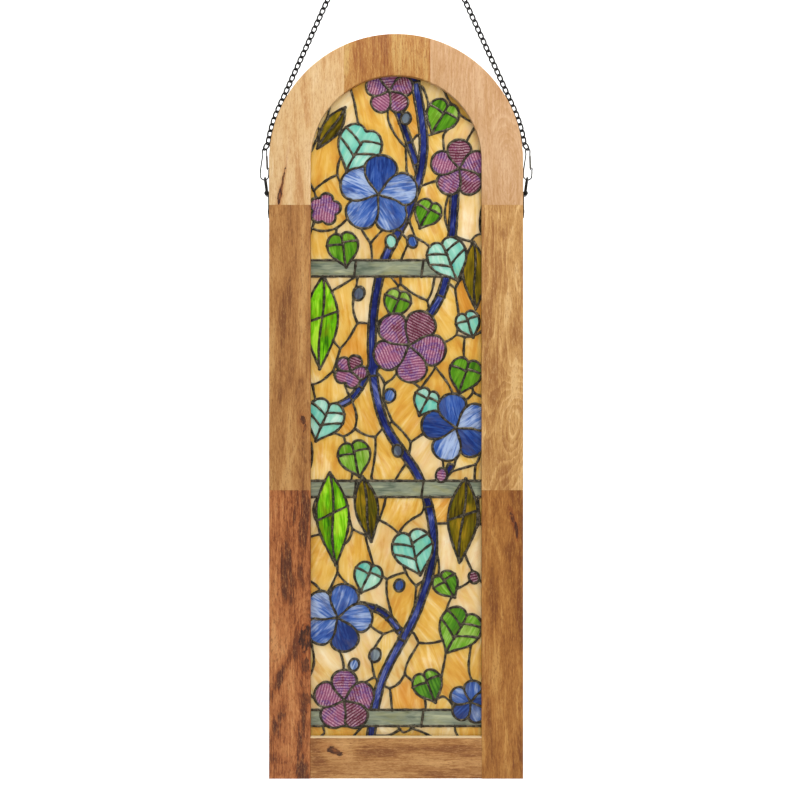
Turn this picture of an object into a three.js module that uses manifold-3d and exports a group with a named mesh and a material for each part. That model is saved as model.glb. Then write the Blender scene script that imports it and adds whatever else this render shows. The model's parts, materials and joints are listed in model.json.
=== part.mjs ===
// Arched stained glass window panel in a wooden frame, hung by a chain from its two sides.
// Millimetres, +Z up, the front faces -Y. The origin is the hook point in the chain's middle link.
import * as THREE from "three";
import { mergeVertices } from "three/addons/utils/BufferGeometryUtils.js";
import Module from "manifold-3d";

const wasm = await Module();
wasm.setup();

// ---- driving dimensions -------------------------------------------------------------------
const FRAME_WIDTH = 312;
const FRAME_HEIGHT = 914;
const FRAME_THICKNESS = 19;
const BOARD_WIDTH = 51; // every frame member, seen from the front
const HOOK_ABOVE_ARCH = 221; // chain's middle link above the top of the arch
const LOWER_STILE_TOP = 354; // end-to-end joints of the side boards, above the frame's foot
const UPPER_STILE_TOP = 704;
const ARCH_SEAMS = [-64, 42]; // glue lines between the arch's three upright boards

const GLASS_THICKNESS = 3;
const LEAD_THICKNESS = 5; // front bead to back bead
const LEAD_WIDTH = 3.2; // a soldered line, seen from the front
const CLEARANCE = 0.3; // between a pane and its lead, and between the panel and its groove
const GROOVE_DEPTH = 6;
const BORDER_WIDTH = 4; // soldered border, hidden in the groove

const STRAP = { thickness: 1.5, width: 11, foot: 689, top: 716, screwHeight: 697 };
const RING_WIRE = 2.5;
const RING_HALF_WIDTH = 7.4; // middle of the wire, along Y
const RING_RISE = 19.5; // from its straight bar to the middle of its arc
const RING_LEAN = 2.6; // the top of the ring hangs this far out from its bar
const CLIP_WIRE = 1.6;
const CLIP_HEIGHT = 39;
const CHAIN_WIRE = 2.1;
const LINK_PITCH = 8.2; // inner length of one link
const LINK_WIDTH = 7.2; // outer width of one link
const CHAIN_ENVELOPE = 6; // thickness of the plain strand that stands for a run of links
const CHAIN_STAND_OFF = 3.8; // middle of the chain outside the arch's edge, where it leans on it

const HALF_WIDTH = FRAME_WIDTH / 2;
const OPENING_HALF = HALF_WIDTH - BOARD_WIDTH;
const SPRING_LINE = FRAME_HEIGHT - HALF_WIDTH; // where the half-round top begins
const HOOK_HEIGHT = FRAME_HEIGHT + HOOK_ABOVE_ARCH;

// ---- colours ------------------------------------------------------------------------------
const finish = (color, roughness, metalness = 0) =>
  new THREE.MeshStandardMaterial({ color, roughness, metalness });
const FINISHES = {
  paleWood: finish("#d9b083", 0.55),
  honeyWood: finish("#c08f58", 0.55),
  redWood: finish("#a56f42", 0.55),
  blackSteel: finish("#15130f", 0.45, 0.8),
  solder: finish("#4b4539", 0.4, 0.85),
  amberGlass: finish("#e3b766", 0.25),
  greyGlass: finish("#8d9a88", 0.3),
  stemGlass: finish("#2b3f93", 0.2),
  blueGlass: finish("#3f68bd", 0.2),
  purpleGlass: finish("#9b5a92", 0.3),
  aquaGlass: finish("#8fdccb", 0.2),
  greenGlass: finish("#6fa82c", 0.2),
  oliveGlass: finish("#6f7a12", 0.2),
};

// ---- solids -------------------------------------------------------------------------------
// A closed three.js geometry as a manifold solid: only positions, shared vertices merged.
function solid(geometry) {
  const bare = geometry.index ? geometry.toNonIndexed() : geometry.clone();
  bare.deleteAttribute("normal");
  bare.deleteAttribute("uv");
  const merged = mergeVertices(bare, 1e-4);
  return new wasm.Manifold(
    new wasm.Mesh({
      numProp: 3,
      vertProperties: merged.attributes.position.array,
      triVerts: new Uint32Array(merged.index.array),
    }),
  );
}

function geometryOf(body) {
  const made = body.getMesh();
  return new THREE.BufferGeometry()
    .setAttribute("position", new THREE.BufferAttribute(made.vertProperties, 3))
    .setIndex(new THREE.BufferAttribute(made.triVerts, 1));
}

// A flat outline, drawn in x and z as seen from the front, given a thickness centred on y = 0.
function slab(shape, thickness, curveSegments = 12) {
  const geometry = new THREE.ExtrudeGeometry(shape, {
    depth: thickness,
    bevelEnabled: false,
    curveSegments,
  });
  geometry.rotateX(Math.PI / 2); // the outline's second axis becomes +Z, its depth runs to -Y
  geometry.translate(0, thickness / 2, 0);
  return solid(geometry);
}

function block(x0, x1, y0, y1, z0, z1) {
  const geometry = new THREE.BoxGeometry(x1 - x0, y1 - y0, z1 - z0);
  geometry.translate((x0 + x1) / 2, (y0 + y1) / 2, (z0 + z1) / 2);
  return solid(geometry);
}

const parts = new THREE.Group();
parts.position.z = -HOOK_HEIGHT; // everything below is measured from the frame's foot

function addPart(name, body, material) {
  const mesh = new THREE.Mesh(geometryOf(body), material);
  mesh.name = name;
  parts.add(mesh);
}

// ---- outlines -----------------------------------------------------------------------------
const polygon = (points) => new THREE.Shape(points.map(([x, z]) => new THREE.Vector2(x, z)));

// Straight sides and a half-round top.
function archOutline(halfWidth, foot) {
  const shape = new THREE.Shape();
  shape.moveTo(-halfWidth, foot);
  shape.lineTo(halfWidth, foot);
  shape.lineTo(halfWidth, SPRING_LINE);
  shape.absarc(0, SPRING_LINE, halfWidth, 0, Math.PI, false);
  shape.lineTo(-halfWidth, foot);
  return shape;
}

// Moves a closed outline's corners square to its sides: out where amount is above 0, else in.
function offsetOutline(points, amount) {
  const area = points.reduce((sum, [x, z], i) => {
    const [nextX, nextZ] = points[(i + 1) % points.length];
    return sum + x * nextZ - nextX * z;
  }, 0);
  const side = Math.sign(area) * amount;
  return points.map(([x, z], i) => {
    const [beforeX, beforeZ] = points[(i + points.length - 1) % points.length];
    const [afterX, afterZ] = points[(i + 1) % points.length];
    const inward = new THREE.Vector2(x - beforeX, z - beforeZ).normalize();
    const outward = new THREE.Vector2(afterX - x, afterZ - z).normalize();
    const mitre = new THREE.Vector2(inward.y + outward.y, -inward.x - outward.x).normalize();
    const reach = side / Math.max(0.55, mitre.x * inward.y - mitre.y * inward.x);
    return [x + mitre.x * reach, z + mitre.y * reach];
  });
}

// Turns, scales and places a unit outline.
function placed(points, { x, z, size, turn = 0 }) {
  const angle = THREE.MathUtils.degToRad(turn);
  return points.map(([u, v]) => [
    x + size * (u * Math.cos(angle) - v * Math.sin(angle)),
    z + size * (u * Math.sin(angle) + v * Math.cos(angle)),
  ]);
}

const steps = (count) => Array.from({ length: count }, (_, i) => i / count);

// Five round petals: the radius falls to PETAL_NOTCH of the full one between them.
const PETALS = 5;
const PETAL_NOTCH = 0.66;
const flowerUnit = steps(PETALS * 4).map((share) => {
  const angle = 2 * Math.PI * share;
  const swell = Math.abs(Math.cos((PETALS * angle) / 2)) ** 0.55;
  const radius = PETAL_NOTCH + (1 - PETAL_NOTCH) * swell;
  return [radius * Math.cos(angle), radius * Math.sin(angle)];
});

// A heart-shaped leaf, one unit tall, its tip pointing down: a circle drawn out to the tip and
// pressed in at the notch. The angle is measured from the tip.
const heartUnit = steps(16).map((share) => {
  const angle = 2 * Math.PI * share;
  const fromTip = Math.min(angle, 2 * Math.PI - angle);
  const radius = 0.44 + 0.2 * Math.exp(-fromTip / 0.25) - 0.2 * Math.exp((fromTip - Math.PI) / 0.4);
  return [radius * Math.sin(angle), -radius * Math.cos(angle)];
});

// A long pointed leaf, one unit long: half its width is a sine, fuller towards the top.
const LONG_LEAF_WIDTH = 0.32;
const longLeafUnit = steps(12).map((share) => {
  const along = share < 0.5 ? 2 * share : 2 - 2 * share;
  const half = (LONG_LEAF_WIDTH / 2) * Math.sin(Math.PI * along) * (0.85 + 0.45 * along);
  return [share < 0.5 ? half : -half, along - 0.5];
});

// ---- the picture: a flowering vine on a trellis --------------------------------------------
// From the topmost down: a flower or leaf further on in the list passes behind the ones before it.
const MOTIFS = [
  { name: "purple_flower_low", unit: flowerUnit, x: -64, z: 94, size: 38, turn: 90, finish: "purpleGlass" },
  { name: "blue_flower_low", unit: flowerUnit, x: -72, z: 196, size: 43, turn: 72, finish: "blueGlass" },
  { name: "blue_flower_middle", unit: flowerUnit, x: 74, z: 430, size: 43, turn: 100, finish: "blueGlass" },
  { name: "purple_flower_middle", unit: flowerUnit, x: 16, z: 532, size: 46, turn: 60, finish: "purpleGlass" },
  { name: "blue_flower_high", unit: flowerUnit, x: -22, z: 718, size: 49, turn: 84, finish: "blueGlass" },
  { name: "purple_flower_high", unit: flowerUnit, x: 78, z: 750, size: 36, turn: 90, finish: "purpleGlass" },
  { name: "green_leaf_right", unit: heartUnit, x: 80, z: 186, size: 60, turn: -28, finish: "greenGlass" },
  { name: "aqua_leaf_low", unit: heartUnit, x: 20, z: 284, size: 58, turn: 16, finish: "aquaGlass" },
  { name: "aqua_leaf_left", unit: heartUnit, x: -87, z: 446, size: 54, turn: -20, finish: "aquaGlass" },
  { name: "aqua_leaf_right", unit: heartUnit, x: 62, z: 644, size: 56, turn: 24, finish: "aquaGlass" },
  { name: "aqua_leaf_high", unit: heartUnit, x: -44, z: 781, size: 62, turn: -26, finish: "aquaGlass" },
  { name: "long_leaf_left", unit: longLeafUnit, x: -78, z: 318, size: 116, turn: 4, finish: "greenGlass" },
  { name: "long_leaf_right", unit: longLeafUnit, x: 82, z: 316, size: 106, turn: -4, finish: "oliveGlass" },
  { name: "long_leaf_edge", unit: longLeafUnit, x: -92, z: 560, size: 116, turn: -2, finish: "greenGlass" },
];

const BAR_HALF_HEIGHT = 10;
const BARS = [
  { name: "trellis_bar_low", z: 72.5 },
  { name: "trellis_bar_middle", z: 355 },
  { name: "trellis_bar_high", z: 627 },
];

// The vine winds up behind the trellis to the crown of the arch, with a side shoot on the right.
const STEM_WIDTH = 9.5;
const STEM_ROUTES = [
  [
    [-34, 30],
    [-18, 118],
    [26, 205],
    [46, 285],
    [30, 365],
    [-16, 440],
    [-30, 530],
    [-18, 626],
    [16, 700],
    [34, 780],
    [18, 885],
  ],
  [
    [-33, 500],
    [0, 530],
    [48, 580],
    [66, 640],
    [74, 750],
  ],
];
const STEM_STEPS = 26;
const stemCurves = STEM_ROUTES.map(
  (route) => new THREE.SplineCurve(route.map(([x, z]) => new THREE.Vector2(x, z))),
);

function stemOutline(curve, width) {
  const sides = [[], []];
  for (let i = 0; i <= STEM_STEPS; i += 1) {
    const at = curve.getPoint(i / STEM_STEPS);
    const along = curve.getTangent(i / STEM_STEPS);
    sides[0].push([at.x + (along.y * width) / 2, at.y - (along.x * width) / 2]);
    sides[1].unshift([at.x - (along.y * width) / 2, at.y + (along.x * width) / 2]);
  }
  return [...sides[0], ...sides[1]];
}

function barOutline(bar, grow) {
  const half = BAR_HALF_HEIGHT + grow;
  const reach = OPENING_HALF + GROOVE_DEPTH;
  return [
    [-reach, bar.z - half],
    [reach, bar.z - half],
    [reach, bar.z + half],
    [-reach, bar.z + half],
  ];
}

const flat = (points, thickness) => slab(polygon(points), thickness);
const union = (bodies) => bodies.reduce((sum, body) => sum.add(body));
const panelHalf = OPENING_HALF + GROOVE_DEPTH - 2 * CLEARANCE;
const panelFoot = BOARD_WIDTH - GROOVE_DEPTH + 2 * CLEARANCE;

const motifBody = (motif, margin, thickness) =>
  flat(offsetOutline(placed(motif.unit, motif), margin), thickness);
const stemGrown = (margin, thickness) =>
  union(stemCurves.map((curve) => flat(stemOutline(curve, STEM_WIDTH + 2 * margin), thickness)));
const barsGrown = (margin, thickness) =>
  union(BARS.map((bar) => flat(barOutline(bar, margin), thickness)));

// Every pane of the picture, its edges drawn in by a margin from the middle of the soldered lines.
function paneLayers(margin, thickness) {
  const cut = thickness + 2;
  const rim = BORDER_WIDTH + margin - LEAD_WIDTH / 2;
  const field = slab(archOutline(panelHalf - rim, panelFoot + rim), thickness, 24);
  const grown = MOTIFS.map((motif) => motifBody(motif, margin, cut));
  const motifs = MOTIFS.map((motif, i) =>
    grown
      .slice(0, i)
      .reduce((left, over) => left.subtract(over), motifBody(motif, -margin, thickness).intersect(field)),
  );
  const overBars = union(grown);
  const overStem = overBars.add(barsGrown(margin, cut));
  return {
    motifs,
    bars: barsGrown(-margin, thickness).intersect(field).subtract(overBars),
    stem: stemGrown(-margin, thickness).intersect(field).subtract(overStem),
    ground: field.subtract(overStem).subtract(stemGrown(margin, cut)),
  };
}

// The pieces of one layer above a least area, from the foot of the panel up, then left to right.
const LEAST_PANE = 150; // mm2, anything smaller is filled with solder
function pieces(body, thickness) {
  return body
    .decompose()
    .filter((piece) => piece.volume() / thickness > LEAST_PANE)
    .map((piece) => ({ piece, box: piece.boundingBox() }))
    .sort((a, b) => a.box.min[2] - b.box.min[2] || a.box.min[0] - b.box.min[0])
    .map(({ piece }) => piece);
}

// Lead lines are what is left of the panel when every pane's hole is cut; the pane fills its hole.
function addPanel() {
  const cut = LEAD_THICKNESS + 2;
  const holes = paneLayers(LEAD_WIDTH / 2, cut);
  const glass = paneLayers(LEAD_WIDTH / 2 + CLEARANCE, GLASS_THICKNESS);
  const largest = (body) => body.decompose().sort((a, b) => b.volume() - a.volume())[0];
  let network = slab(archOutline(panelHalf, panelFoot), LEAD_THICKNESS, 24);

  const layers = [
    ["vine_stem", pieces(holes.stem, cut), glass.stem, "stemGlass"],
    ["trellis_bar", pieces(holes.bars, cut), glass.bars, "greyGlass"],
    ["amber_ground", pieces(holes.ground, cut), glass.ground, "amberGlass"],
  ];
  for (const [name, found, body, finishName] of layers) {
    found.forEach((hole, i) => {
      network = network.subtract(hole);
      addPart(`${name}_${i + 1}`, largest(body.intersect(hole)), FINISHES[finishName]);
    });
  }
  MOTIFS.forEach((motif, i) => {
    network = network.subtract(holes.motifs[i]);
    addPart(motif.name, glass.motifs[i], FINISHES[motif.finish]);
  });
  addPart("solder_network", network, FINISHES.solder);
}

// ---- wooden frame -------------------------------------------------------------------------
const ARC_STEPS = 30;

function addFrame() {
  const half = FRAME_THICKNESS / 2;
  const grooveSpan = LEAD_THICKNESS + 2 * CLEARANCE;
  const groove = slab(
    archOutline(OPENING_HALF + GROOVE_DEPTH, BOARD_WIDTH - GROOVE_DEPTH),
    grooveSpan,
    ARC_STEPS,
  );
  const opening = slab(archOutline(OPENING_HALF, BOARD_WIDTH), FRAME_THICKNESS + 2, ARC_STEPS);
  const arch = slab(archOutline(HALF_WIDTH, UPPER_STILE_TOP), FRAME_THICKNESS, ARC_STEPS)
    .subtract(opening)
    .subtract(groove);
  const archNames = ["arch_board_left", "arch_board_middle", "arch_board_right"];
  const archFinishes = ["paleWood", "honeyWood", "paleWood"];
  const seams = [-HALF_WIDTH - 1, ...ARCH_SEAMS, HALF_WIDTH + 1];
  archNames.forEach((name, i) => {
    const cutter = block(seams[i], seams[i + 1], -half - 1, half + 1, 0, FRAME_HEIGHT + 1);
    addPart(name, arch.intersect(cutter), FINISHES[archFinishes[i]]);
  });

  for (const [side, sign] of [["left", -1], ["right", 1]]) {
    const [x0, x1] = [sign * HALF_WIDTH, sign * OPENING_HALF].sort((a, b) => a - b);
    const pilot = screwHole(sign);
    const upper = block(x0, x1, -half, half, LOWER_STILE_TOP, UPPER_STILE_TOP);
    const lower = block(x0, x1, -half, half, 0, LOWER_STILE_TOP);
    addPart(`${side}_upper_stile`, upper.subtract(groove).subtract(pilot), FINISHES.honeyWood);
    addPart(`${side}_lower_stile`, lower.subtract(groove), FINISHES.redWood);
  }
  const rail = block(-OPENING_HALF, OPENING_HALF, -half, half, 0, BOARD_WIDTH);
  addPart("bottom_rail", rail.subtract(groove), FINISHES.honeyWood);
}

// ---- hanging hardware ---------------------------------------------------------------------
const SCREW = { radius: 1.5, length: 14, headRadius: 3.4, headHeight: 0.8, sides: 12 };

// A cylinder lying along X, from one x to the other.
function rodAlongX(radius, x0, x1, z, sides = SCREW.sides) {
  const geometry = new THREE.CylinderGeometry(radius, radius, x1 - x0, sides);
  geometry.rotateZ(Math.PI / 2);
  geometry.translate((x0 + x1) / 2, 0, z);
  return solid(geometry);
}

function screwHole(sign) {
  const reach = [sign * (HALF_WIDTH + 4), sign * (HALF_WIDTH - SCREW.length)];
  return rodAlongX(SCREW.radius + CLEARANCE, Math.min(...reach), Math.max(...reach), STRAP.screwHeight);
}

// A round section extruded along a curve, with flat ends.
function wireRun(curve, wire, count, sides) {
  const ring = steps(sides).map((share) => {
    const angle = 2 * Math.PI * share;
    return [(wire / 2) * Math.cos(angle), (wire / 2) * Math.sin(angle)];
  });
  return solid(
    new THREE.ExtrudeGeometry(polygon(ring), { steps: count, bevelEnabled: false, extrudePath: curve }),
  );
}

// Straight lines from point to point.
function linesThrough(points) {
  const route = new THREE.CurvePath();
  points.slice(1).forEach((to, i) => route.add(new THREE.LineCurve3(points[i], to)));
  return route;
}

const strapBack = HALF_WIDTH + 0.1;
const ringBarX = strapBack + RING_WIRE / 2 + CLEARANCE + STRAP.thickness;
const ringBarZ = STRAP.top + 3.2;

// A flat strap screwed to the frame's side, its top rolled into an eye round the ring's bar.
function strapHanger() {
  const outer = RING_WIRE / 2 + CLEARANCE + STRAP.thickness;
  const inner = outer - STRAP.thickness;
  const shape = new THREE.Shape();
  shape.moveTo(strapBack, STRAP.foot);
  shape.lineTo(strapBack + STRAP.thickness, STRAP.foot);
  shape.lineTo(strapBack + STRAP.thickness, ringBarZ);
  shape.absarc(ringBarX, ringBarZ, inner, Math.PI, -0.7 * Math.PI, true);
  shape.absarc(ringBarX, ringBarZ, outer, -0.7 * Math.PI, Math.PI, false);
  shape.lineTo(strapBack, STRAP.foot);
  return slab(shape, STRAP.width, 8).subtract(
    rodAlongX(SCREW.radius + CLEARANCE, strapBack - 1, strapBack + 4, STRAP.screwHeight),
  );
}

function strapScrew() {
  const seat = strapBack + STRAP.thickness + 0.05;
  const shank = rodAlongX(SCREW.radius, HALF_WIDTH - SCREW.length + 1, seat + 0.5, STRAP.screwHeight);
  const profile = [
    new THREE.Vector2(0, 0),
    new THREE.Vector2(SCREW.headRadius, 0),
    new THREE.Vector2(SCREW.headRadius, 0.5 * SCREW.headHeight),
    new THREE.Vector2(0.6 * SCREW.headRadius, SCREW.headHeight),
    new THREE.Vector2(0, SCREW.headHeight),
  ];
  const head = new THREE.LatheGeometry(profile, SCREW.sides);
  head.rotateZ(-Math.PI / 2);
  head.translate(seat, 0, STRAP.screwHeight);
  return shank.add(solid(head));
}

// The ring stands in the plane square to the window: a straight bar, two legs and a round top.
// Its wire's two ends meet in the middle of the bar, inside the strap's eye.
const BUTT_GAP = 0.3;
function dRing() {
  const corner = (y, z) =>
    new THREE.Vector3(ringBarX + (RING_LEAN * z) / RING_RISE, y, ringBarZ + z);
  const shoulder = RING_RISE - RING_HALF_WIDTH;
  const points = [corner(BUTT_GAP / 2, 0), corner(RING_HALF_WIDTH - 1, 0), corner(RING_HALF_WIDTH, 1)];
  for (const share of [0, 1 / 6, 2 / 6, 3 / 6, 4 / 6, 5 / 6, 1]) {
    const angle = Math.PI * share;
    points.push(corner(RING_HALF_WIDTH * Math.cos(angle), shoulder + RING_HALF_WIDTH * Math.sin(angle)));
  }
  points.push(corner(-RING_HALF_WIDTH, 1), corner(1 - RING_HALF_WIDTH, 0), corner(-BUTT_GAP / 2, 0));
  return wireRun(linesThrough(points), RING_WIRE, points.length * 2, 6);
}

// The pear-shaped spring clip: a narrow eye at the top for the chain, a wide foot in the ring.
const clipFoot = ringBarZ + RING_RISE - RING_WIRE / 2 - CLIP_WIRE / 2 - CLEARANCE - 0.2;
const CLIP_X = ringBarX + RING_LEAN + 0.7;
const CLIP_ROUTE = [
  [3.4, 12.5], // tip of the spring gate
  [3.1, 22],
  [2.7, 31],
  [2.6, 36.6],
  [0, CLIP_HEIGHT],
  [-2.6, 36.6],
  [-2.3, 31],
  [-3.9, 20],
  [-5.2, 8.5],
  [-4.4, 2.6],
  [0, 0],
  [4.2, 2.3],
  [5.1, 7],
  [5.2, 12.5], // hook end, outside the gate
];

function springClip() {
  const points = CLIP_ROUTE.map(([x, z]) => new THREE.Vector3(CLIP_X + x, 0, clipFoot + z));
  return wireRun(new THREE.CatmullRomCurve3(points, false, "catmullrom", 0.5), CLIP_WIRE, 26, 6);
}

// The chain leans on the arch's shoulder, then runs straight to the hook.
const leanRadius = HALF_WIDTH + CHAIN_STAND_OFF;
const clipTop = new THREE.Vector2(CLIP_X, clipFoot + CLIP_HEIGHT - CLIP_WIRE / 2);
const middleLinkEnd = LINK_PITCH / 2 + CHAIN_WIRE;
const hookRise = HOOK_HEIGHT - SPRING_LINE;
const leanAngle =
  Math.atan2(hookRise, middleLinkEnd) -
  Math.acos(leanRadius / Math.hypot(middleLinkEnd, hookRise));

function chainRun() {
  const startAngle = Math.asin((clipTop.y + 1 - SPRING_LINE) / leanRadius);
  const points = [];
  for (const share of [0, 0.33, 0.67, 1]) {
    const angle = startAngle + share * (leanAngle - startAngle);
    points.push([leanRadius * Math.cos(angle), SPRING_LINE + leanRadius * Math.sin(angle)]);
  }
  points.push([middleLinkEnd + 1.6, HOOK_HEIGHT - 3.4]);
  const route = linesThrough(points.map(([x, z]) => new THREE.Vector3(x, 0, z)));
  return wireRun(route, CHAIN_ENVELOPE, 12, 8);
}

// The link that hangs on the hook: an oval of wire whose ends meet in the middle of its lower side.
function middleLink() {
  const round = (LINK_WIDTH - CHAIN_WIRE) / 2;
  const half = (LINK_PITCH + CHAIN_WIRE) / 2 - round;
  const points = [new THREE.Vector3(BUTT_GAP / 2, 0, HOOK_HEIGHT - round)];
  for (const [middle, from] of [[half, -0.5], [-half, 0.5]]) {
    for (const share of [0, 0.25, 0.5, 0.75, 1]) {
      const angle = Math.PI * (from + share);
      const at = [middle + round * Math.cos(angle), round * Math.sin(angle)];
      points.push(new THREE.Vector3(at[0], 0, HOOK_HEIGHT + at[1]));
    }
  }
  points.push(new THREE.Vector3(-BUTT_GAP / 2, 0, HOOK_HEIGHT - round));
  return wireRun(linesThrough(points), CHAIN_WIRE, 18, 6);
}

function addHardware() {
  const steel = FINISHES.blackSteel;
  const made = {
    strap_hanger: strapHanger(),
    strap_screw: strapScrew(),
    d_ring: dRing(),
    chain_run: chainRun(),
  };
  for (const [name, body] of Object.entries(made)) {
    addPart(`right_${name}`, body, steel);
    addPart(`left_${name}`, body.mirror([1, 0, 0]), steel);
  }
  const clip = springClip();
  addPart("right_spring_clip", clip, steel);
  addPart("left_spring_clip", clip.translate([-2 * CLIP_X, 0, 0]), steel);
  addPart("chain_middle_link", middleLink(), steel);
}

addFrame();
addPanel();
addHardware();

const root = new THREE.Group();
root.add(parts);
export default root;
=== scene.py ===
"""Looks for an arch-topped stained glass panel in a wooden frame, hung by a chain.

Shapes are worked out in millimetres: x to the right, y to the back, z above the foot of the frame.
"""
import json
import math

import bpy
import numpy as np
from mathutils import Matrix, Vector
from mathutils.geometry import delaunay_2d_cdt


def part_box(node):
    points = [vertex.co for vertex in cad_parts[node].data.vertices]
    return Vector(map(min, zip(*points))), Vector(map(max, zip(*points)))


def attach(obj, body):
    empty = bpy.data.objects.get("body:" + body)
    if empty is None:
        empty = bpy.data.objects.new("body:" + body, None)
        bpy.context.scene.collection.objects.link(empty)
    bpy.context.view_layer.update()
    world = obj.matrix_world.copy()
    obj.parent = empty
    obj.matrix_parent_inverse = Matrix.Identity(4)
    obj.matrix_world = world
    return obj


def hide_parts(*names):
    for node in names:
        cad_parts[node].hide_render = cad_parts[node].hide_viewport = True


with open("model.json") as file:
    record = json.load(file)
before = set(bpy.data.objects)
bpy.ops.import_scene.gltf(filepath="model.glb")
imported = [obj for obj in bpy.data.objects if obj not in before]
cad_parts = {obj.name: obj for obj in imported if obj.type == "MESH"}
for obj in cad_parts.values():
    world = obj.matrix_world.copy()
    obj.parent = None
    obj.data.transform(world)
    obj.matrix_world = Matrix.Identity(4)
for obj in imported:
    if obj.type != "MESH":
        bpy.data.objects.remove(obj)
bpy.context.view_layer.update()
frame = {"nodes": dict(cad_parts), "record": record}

MM = 0.001
RNG = np.random.default_rng(41)

# ---- sizes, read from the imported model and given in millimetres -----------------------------
RAIL_LOW, RAIL_HIGH = (np.array(corner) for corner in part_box("bottom_rail"))
FOOT_Z = RAIL_LOW[2]  # metres, the frame's foot in the model's own height
OPENING_HALF = RAIL_HIGH[0] / MM
BOARD_WIDTH = (RAIL_HIGH[2] - RAIL_LOW[2]) / MM
THICKNESS = (RAIL_HIGH[1] - RAIL_LOW[1]) / MM
HALF_WIDTH = OPENING_HALF + BOARD_WIDTH
FRAME_HEIGHT = (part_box("arch_board_middle")[1][2] - FOOT_Z) / MM
SPRING_LINE = FRAME_HEIGHT - HALF_WIDTH
LOWER_STILE_TOP = (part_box("left_lower_stile")[1][2] - FOOT_Z) / MM
UPPER_STILE_TOP = (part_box("left_upper_stile")[1][2] - FOOT_Z) / MM
SEAM_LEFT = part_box("arch_board_middle")[0][0] / MM
SEAM_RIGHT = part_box("arch_board_middle")[1][0] / MM
HOOK_HEIGHT = -FOOT_Z / MM  # the model's origin is the point on the hook

GROOVE_WIDTH = 5.6
GROOVE_DEPTH = 6.0
GLASS_HALF = 1.5
LEAD_HALF = 2.5
PANE_OVERLAP = 2.2  # how far the panes run into the groove
FIELD_HALF = OPENING_HALF + PANE_OVERLAP
FIELD_FOOT = BOARD_WIDTH - PANE_OVERLAP
UV_UNIT = 100  # mm to one step of the glass sheets' own coordinates
# degrees from which an edge is drawn sharp
WOOD_CREASE, GLASS_CREASE, SOLDER_CREASE, STEEL_CREASE, SWEEP_CREASE = 35, 40, 60, 40, 60


# ---- meshes ---------------------------------------------------------------------------------
def closed_mesh(name, points, faces, materials, smooth_angle):
    """An object from points in millimetres above the foot; faces are index tuples."""
    where = np.asarray(points, float).reshape(-1, 3) * MM
    where[:, 2] += FOOT_Z
    mesh = bpy.data.meshes.new(name)
    mesh.from_pydata(where.tolist(), [], [tuple(face) for face in faces])
    for material in materials:
        mesh.materials.append(material)
    mesh.validate()
    mesh.polygons.foreach_set("use_smooth", np.ones(len(mesh.polygons), bool))
    mesh.set_sharp_from_angle(angle=math.radians(smooth_angle))
    made = bpy.data.objects.new(name, mesh)
    bpy.context.collection.objects.link(made)
    return made


def grid_faces(rows, columns, wrap=True):
    """Quads between neighbouring rows of a grid; its columns close on themselves if wrap is set."""
    across = columns if wrap else columns - 1
    row, column = np.meshgrid(np.arange(rows - 1), np.arange(across), indexing="ij")
    after = (column + 1) % columns
    quads = [row * columns + column, row * columns + after]
    quads += [(row + 1) * columns + after, (row + 1) * columns + column]
    return np.stack(quads, -1).reshape(-1, 4)


def loft(rows, looped=False):
    """Points and faces of closed sections joined in order, with a flat face over each end, or
    joined in a ring if looped is set."""
    count, ring = rows.shape[:2]
    faces = [tuple(quad) for quad in grid_faces(count + looped, ring) % (count * ring)]
    if not looped:
        faces.append(tuple(range(ring - 1, -1, -1)))
        faces.append(tuple(range((count - 1) * ring, count * ring)))
    points = rows.reshape(-1, 3)
    if signed_volume(points, faces) < 0:
        faces = [face[::-1] for face in faces]
    return points, faces


def swept(x, y, z):
    """A loft from its three coordinates, each spread over all sections."""
    return loft(np.stack(np.broadcast_arrays(x, y, z), -1))


def signed_volume(points, faces):
    """Six times the volume: the sum of the triple products of fans round each face."""
    total = 0.0
    for size in {len(face) for face in faces}:
        fan = np.array([face for face in faces if len(face) == size], int)
        for k in range(1, size - 1):
            a, b, c = points[fan[:, 0]], points[fan[:, k]], points[fan[:, k + 1]]
            total += np.einsum("ij,ij->i", a, np.cross(b, c)).sum()
    return total


def joined(parts):
    """One list of points and faces from several."""
    points, faces, start = [], [], 0
    for some_points, some_faces in parts:
        points.append(some_points)
        faces += [tuple(int(i) + start for i in face) for face in some_faces]
        start += len(some_points)
    return np.concatenate(points), faces


def piece(name, solid, materials, smooth_angle, slot, *nodes):
    """Makes a piece of the hanging body, in place of the plain solids it stands for."""
    made = closed_mesh(name, *solid, materials, smooth_angle)
    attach(made, "root")
    if nodes:
        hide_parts(*nodes)
    return made


def polar(radius, angle, x=0, z=0):
    """Points at a radius and an angle about (x, z)."""
    return np.stack([x + radius * np.cos(angle), z + radius * np.sin(angle)], -1)


def unit(vectors):
    """Each row drawn out or in to a length of one."""
    return vectors / np.maximum(np.linalg.norm(vectors, axis=1), 1e-9)[:, None]


def right_of(line):
    """The unit vector to the right of a flat line, at each of its points."""
    return unit(np.gradient(line, axis=0))[:, ::-1] * [1, -1]


def users_of_edges(triangles):
    """The triangles on each edge, in the order in which the edges are met."""
    users = {}
    for index, triangle in enumerate(triangles):
        for k in range(3):
            edge = tuple(sorted((triangle[k], triangle[k - 1])))
            users.setdefault(edge, []).append(index)
    return users


def resampled(points, step):
    """The same polyline with corners a fixed step apart along its length, ends kept."""
    lengths = np.linalg.norm(np.diff(points, axis=0), axis=1)
    along = np.concatenate([[0], np.cumsum(lengths)])
    count = max(2, int(round(along[-1] / step)) + 1)
    at = np.linspace(0, along[-1], count)
    return np.stack([np.interp(at, along, points[:, k]) for k in range(points.shape[1])], -1)


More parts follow.
